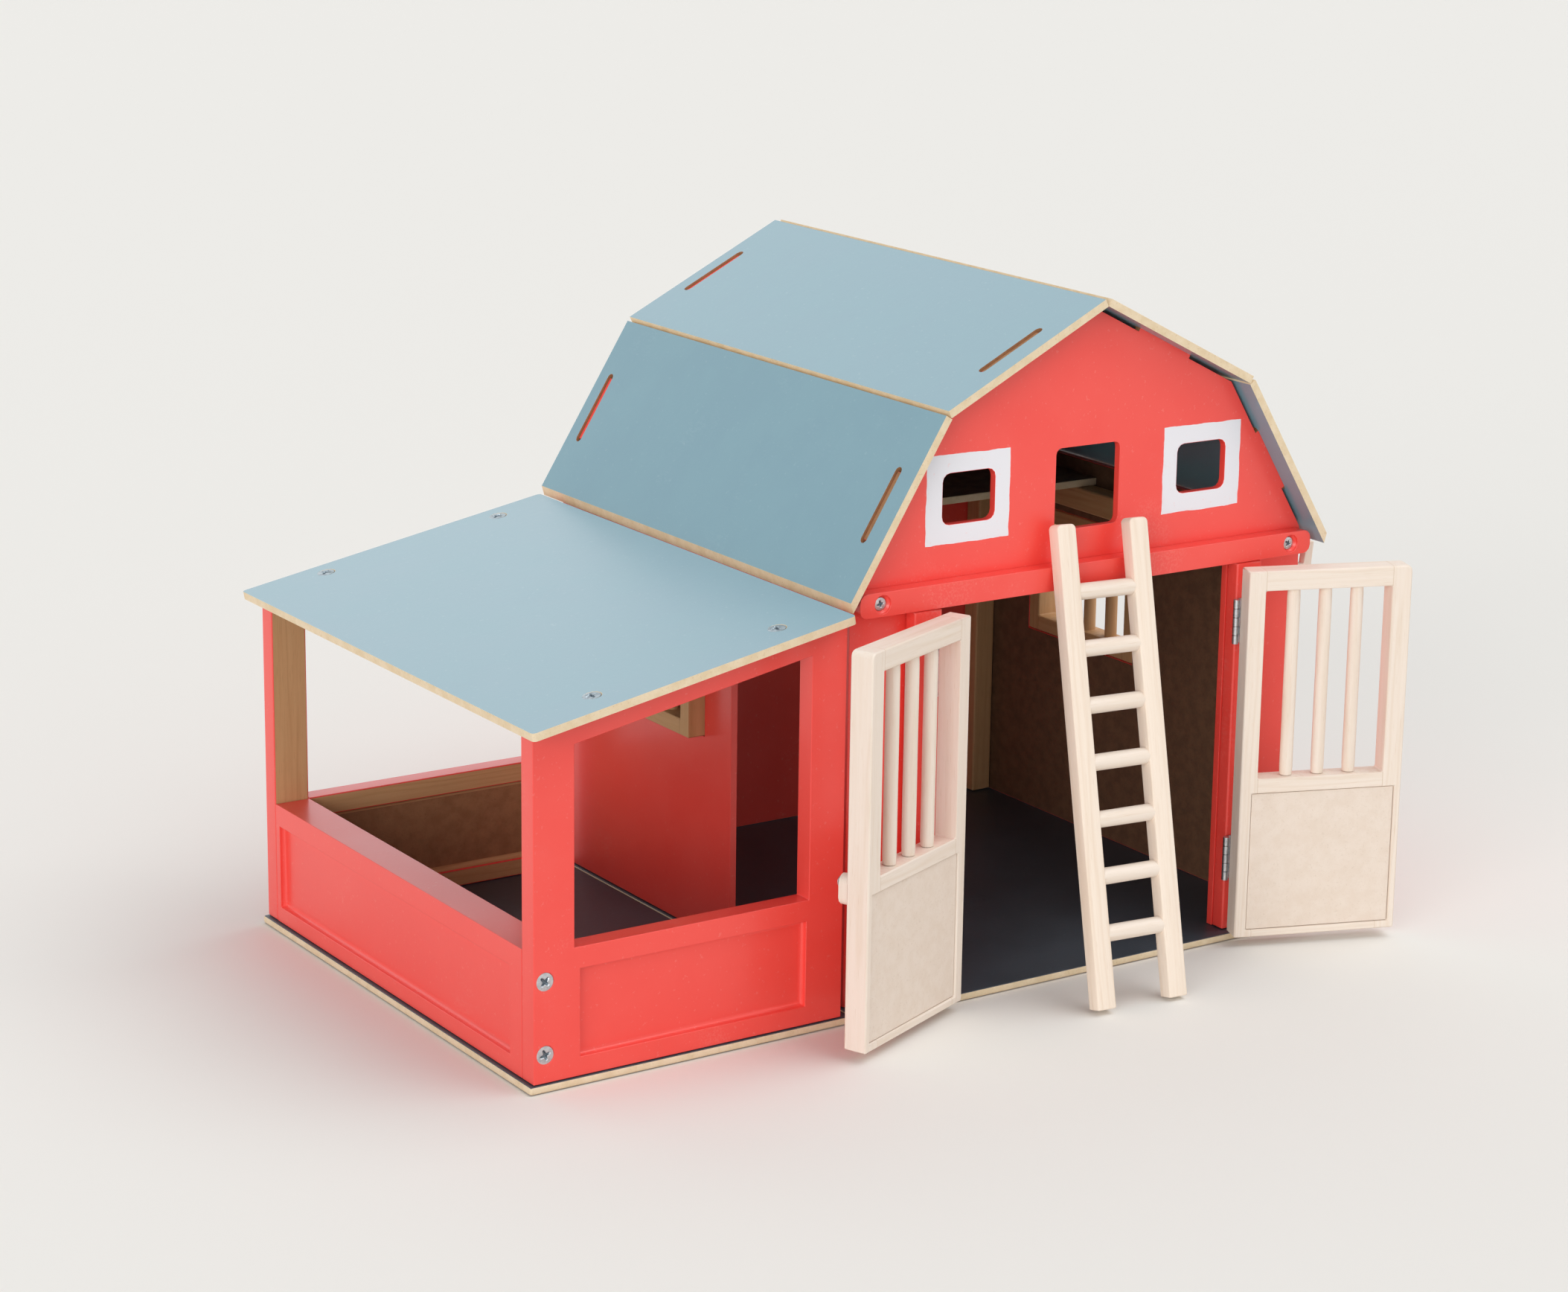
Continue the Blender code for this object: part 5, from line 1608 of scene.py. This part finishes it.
@dataclass
class Studio:
    """The plain floor, the soft lamps and the camera, whose angles are in degrees."""

    azimuth: float = 35.703237
    pitch: float = 13.863845
    roll: float = -1.392848
    back: Point = (-1.029, -1.30676, 0.60104)
    lens: float = 83.709
    sensor: float = 36.0
    shift: Span = (-0.1001, -0.0409)
    clips: Span = (0.05, 60.0)
    floor_half: float = 14.0
    floor_drop: float = 0.0002
    floor_points: int = 5
    floor_colour: str = "EFEDE8"
    floor_roughness: float = 0.9
    floor_gloss: float = 0.1
    glow: tuple[float, float, float, float] = (0.97, 0.98, 1.0, 1.0)
    glow_strength: float = 0.48
    white: tuple[float, float, float, float] = (0.96, 0.97, 0.98, 1.0)
    lamps: tuple[Lamp, ...] = (
        Lamp("overhead", (0.45, -0.25, 1.0), 50.0, 1.15), Lamp("front", (0.35, -1.0, 0.45), 60.0, 0.25),
        Lamp("left", (-1.0, -0.6, 0.20), 40.0, 1.60), Lamp("rear", (0.15, 0.8, 0.6), 60.0, 0.30))

    def build(self) -> None:
        """Set the floor, the light and the camera."""
        self.build_floor()
        self.build_surround()
        for lamp in self.lamps:
            lamp.add()
        self.build_camera()

    def build_floor(self) -> None:
        """Lay a flat sheet of pale board, a hair below the toy."""
        step = np.linspace(-self.floor_half, self.floor_half, self.floor_points)
        x, y = np.meshgrid(step, step, indexing="ij")
        verts = np.stack([x, y, np.full_like(x, -self.floor_drop)], axis=-1).reshape(-1, 3)
        number = np.arange(len(verts)).reshape(x.shape)
        corners = [number[:-1, :-1], number[1:, :-1], number[1:, 1:], number[:-1, 1:]]
        mesh = bpy.data.meshes.new("pale_floor")
        mesh.from_pydata(verts.tolist(), [], np.stack(corners, axis=-1).reshape(-1, 4).tolist())
        material = bpy.data.materials.new("pale_floor_paper")
        material.use_nodes = True
        shader = material.node_tree.nodes["Principled BSDF"]
        look = {"Base Color": linear(self.floor_colour), "Roughness": self.floor_roughness,
                "Specular IOR Level": self.floor_gloss}
        for name, value in look.items():
            shader.inputs[name].default_value = value
        mesh.materials.append(material)
        add_object("pale_floor", mesh)

    def build_surround(self) -> None:
        """Surround the toy with a soft glow, which is seen and mirrored as plain white."""
        world = bpy.data.worlds.new("studio")
        bpy.context.scene.world = world
        world.use_nodes = True
        sheet = Sheet(world.node_tree)
        world.node_tree.nodes.clear()
        path = sheet.node("LightPath").outputs
        seen = sheet.math("MAXIMUM", path["Is Camera Ray"], path["Is Glossy Ray"])
        seen = sheet.math("MAXIMUM", seen, path["Is Transmission Ray"])
        glow = sheet.node("Background", {0: self.glow, 1: self.glow_strength}).outputs[0]
        white = sheet.node("Background", {0: self.white, 1: 1.0}).outputs[0]
        both = sheet.node("MixShader", {0: seen, 1: glow, 2: white}).outputs[0]
        sheet.node("OutputWorld", {0: both})

    def build_camera(self) -> None:
        """Stand the camera where the photograph was taken from."""
        wall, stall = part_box("front_wall"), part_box("stall_front_frame")
        middle = Vector(((wall[0].x + wall[1].x) / 2, stall[0].y, 0))
        turn = Matrix.Rotation(-radians(self.azimuth), 4, "Z")
        turn = turn @ Matrix.Rotation(pi / 2 - radians(self.pitch), 4, "X")
        turn = turn @ Matrix.Rotation(-radians(self.roll), 4, "Z")
        lens = bpy.data.cameras.new("view")
        lens.lens = self.lens
        lens.sensor_width = self.sensor
        lens.shift_x, lens.shift_y = self.shift
        lens.clip_start, lens.clip_end = self.clips
        camera = add_object("view", lens)
        camera.matrix_world = Matrix.Translation(middle + Vector(self.back)) @ turn
        bpy.context.scene.camera = camera
        bpy.context.scene.view_settings.view_transform = "Standard"


def main() -> None:
    """Build the toy sub-assembly by sub-assembly, then its studio."""
    logging.basicConfig(level=logging.INFO, format="%(name)s: %(message)s")
    doors = (SwingDoor("left"), SwingDoor("right"))
    for assembly in (MainBarn(), GambrelRoof(), LeanTo(), *doors, TurnButton(), Fixings(), LeaningLadder()):
        LOG.info("building %s", type(assembly).__name__)
        assembly.build()
    Studio().build()


if __name__ == "__main__":
    main()
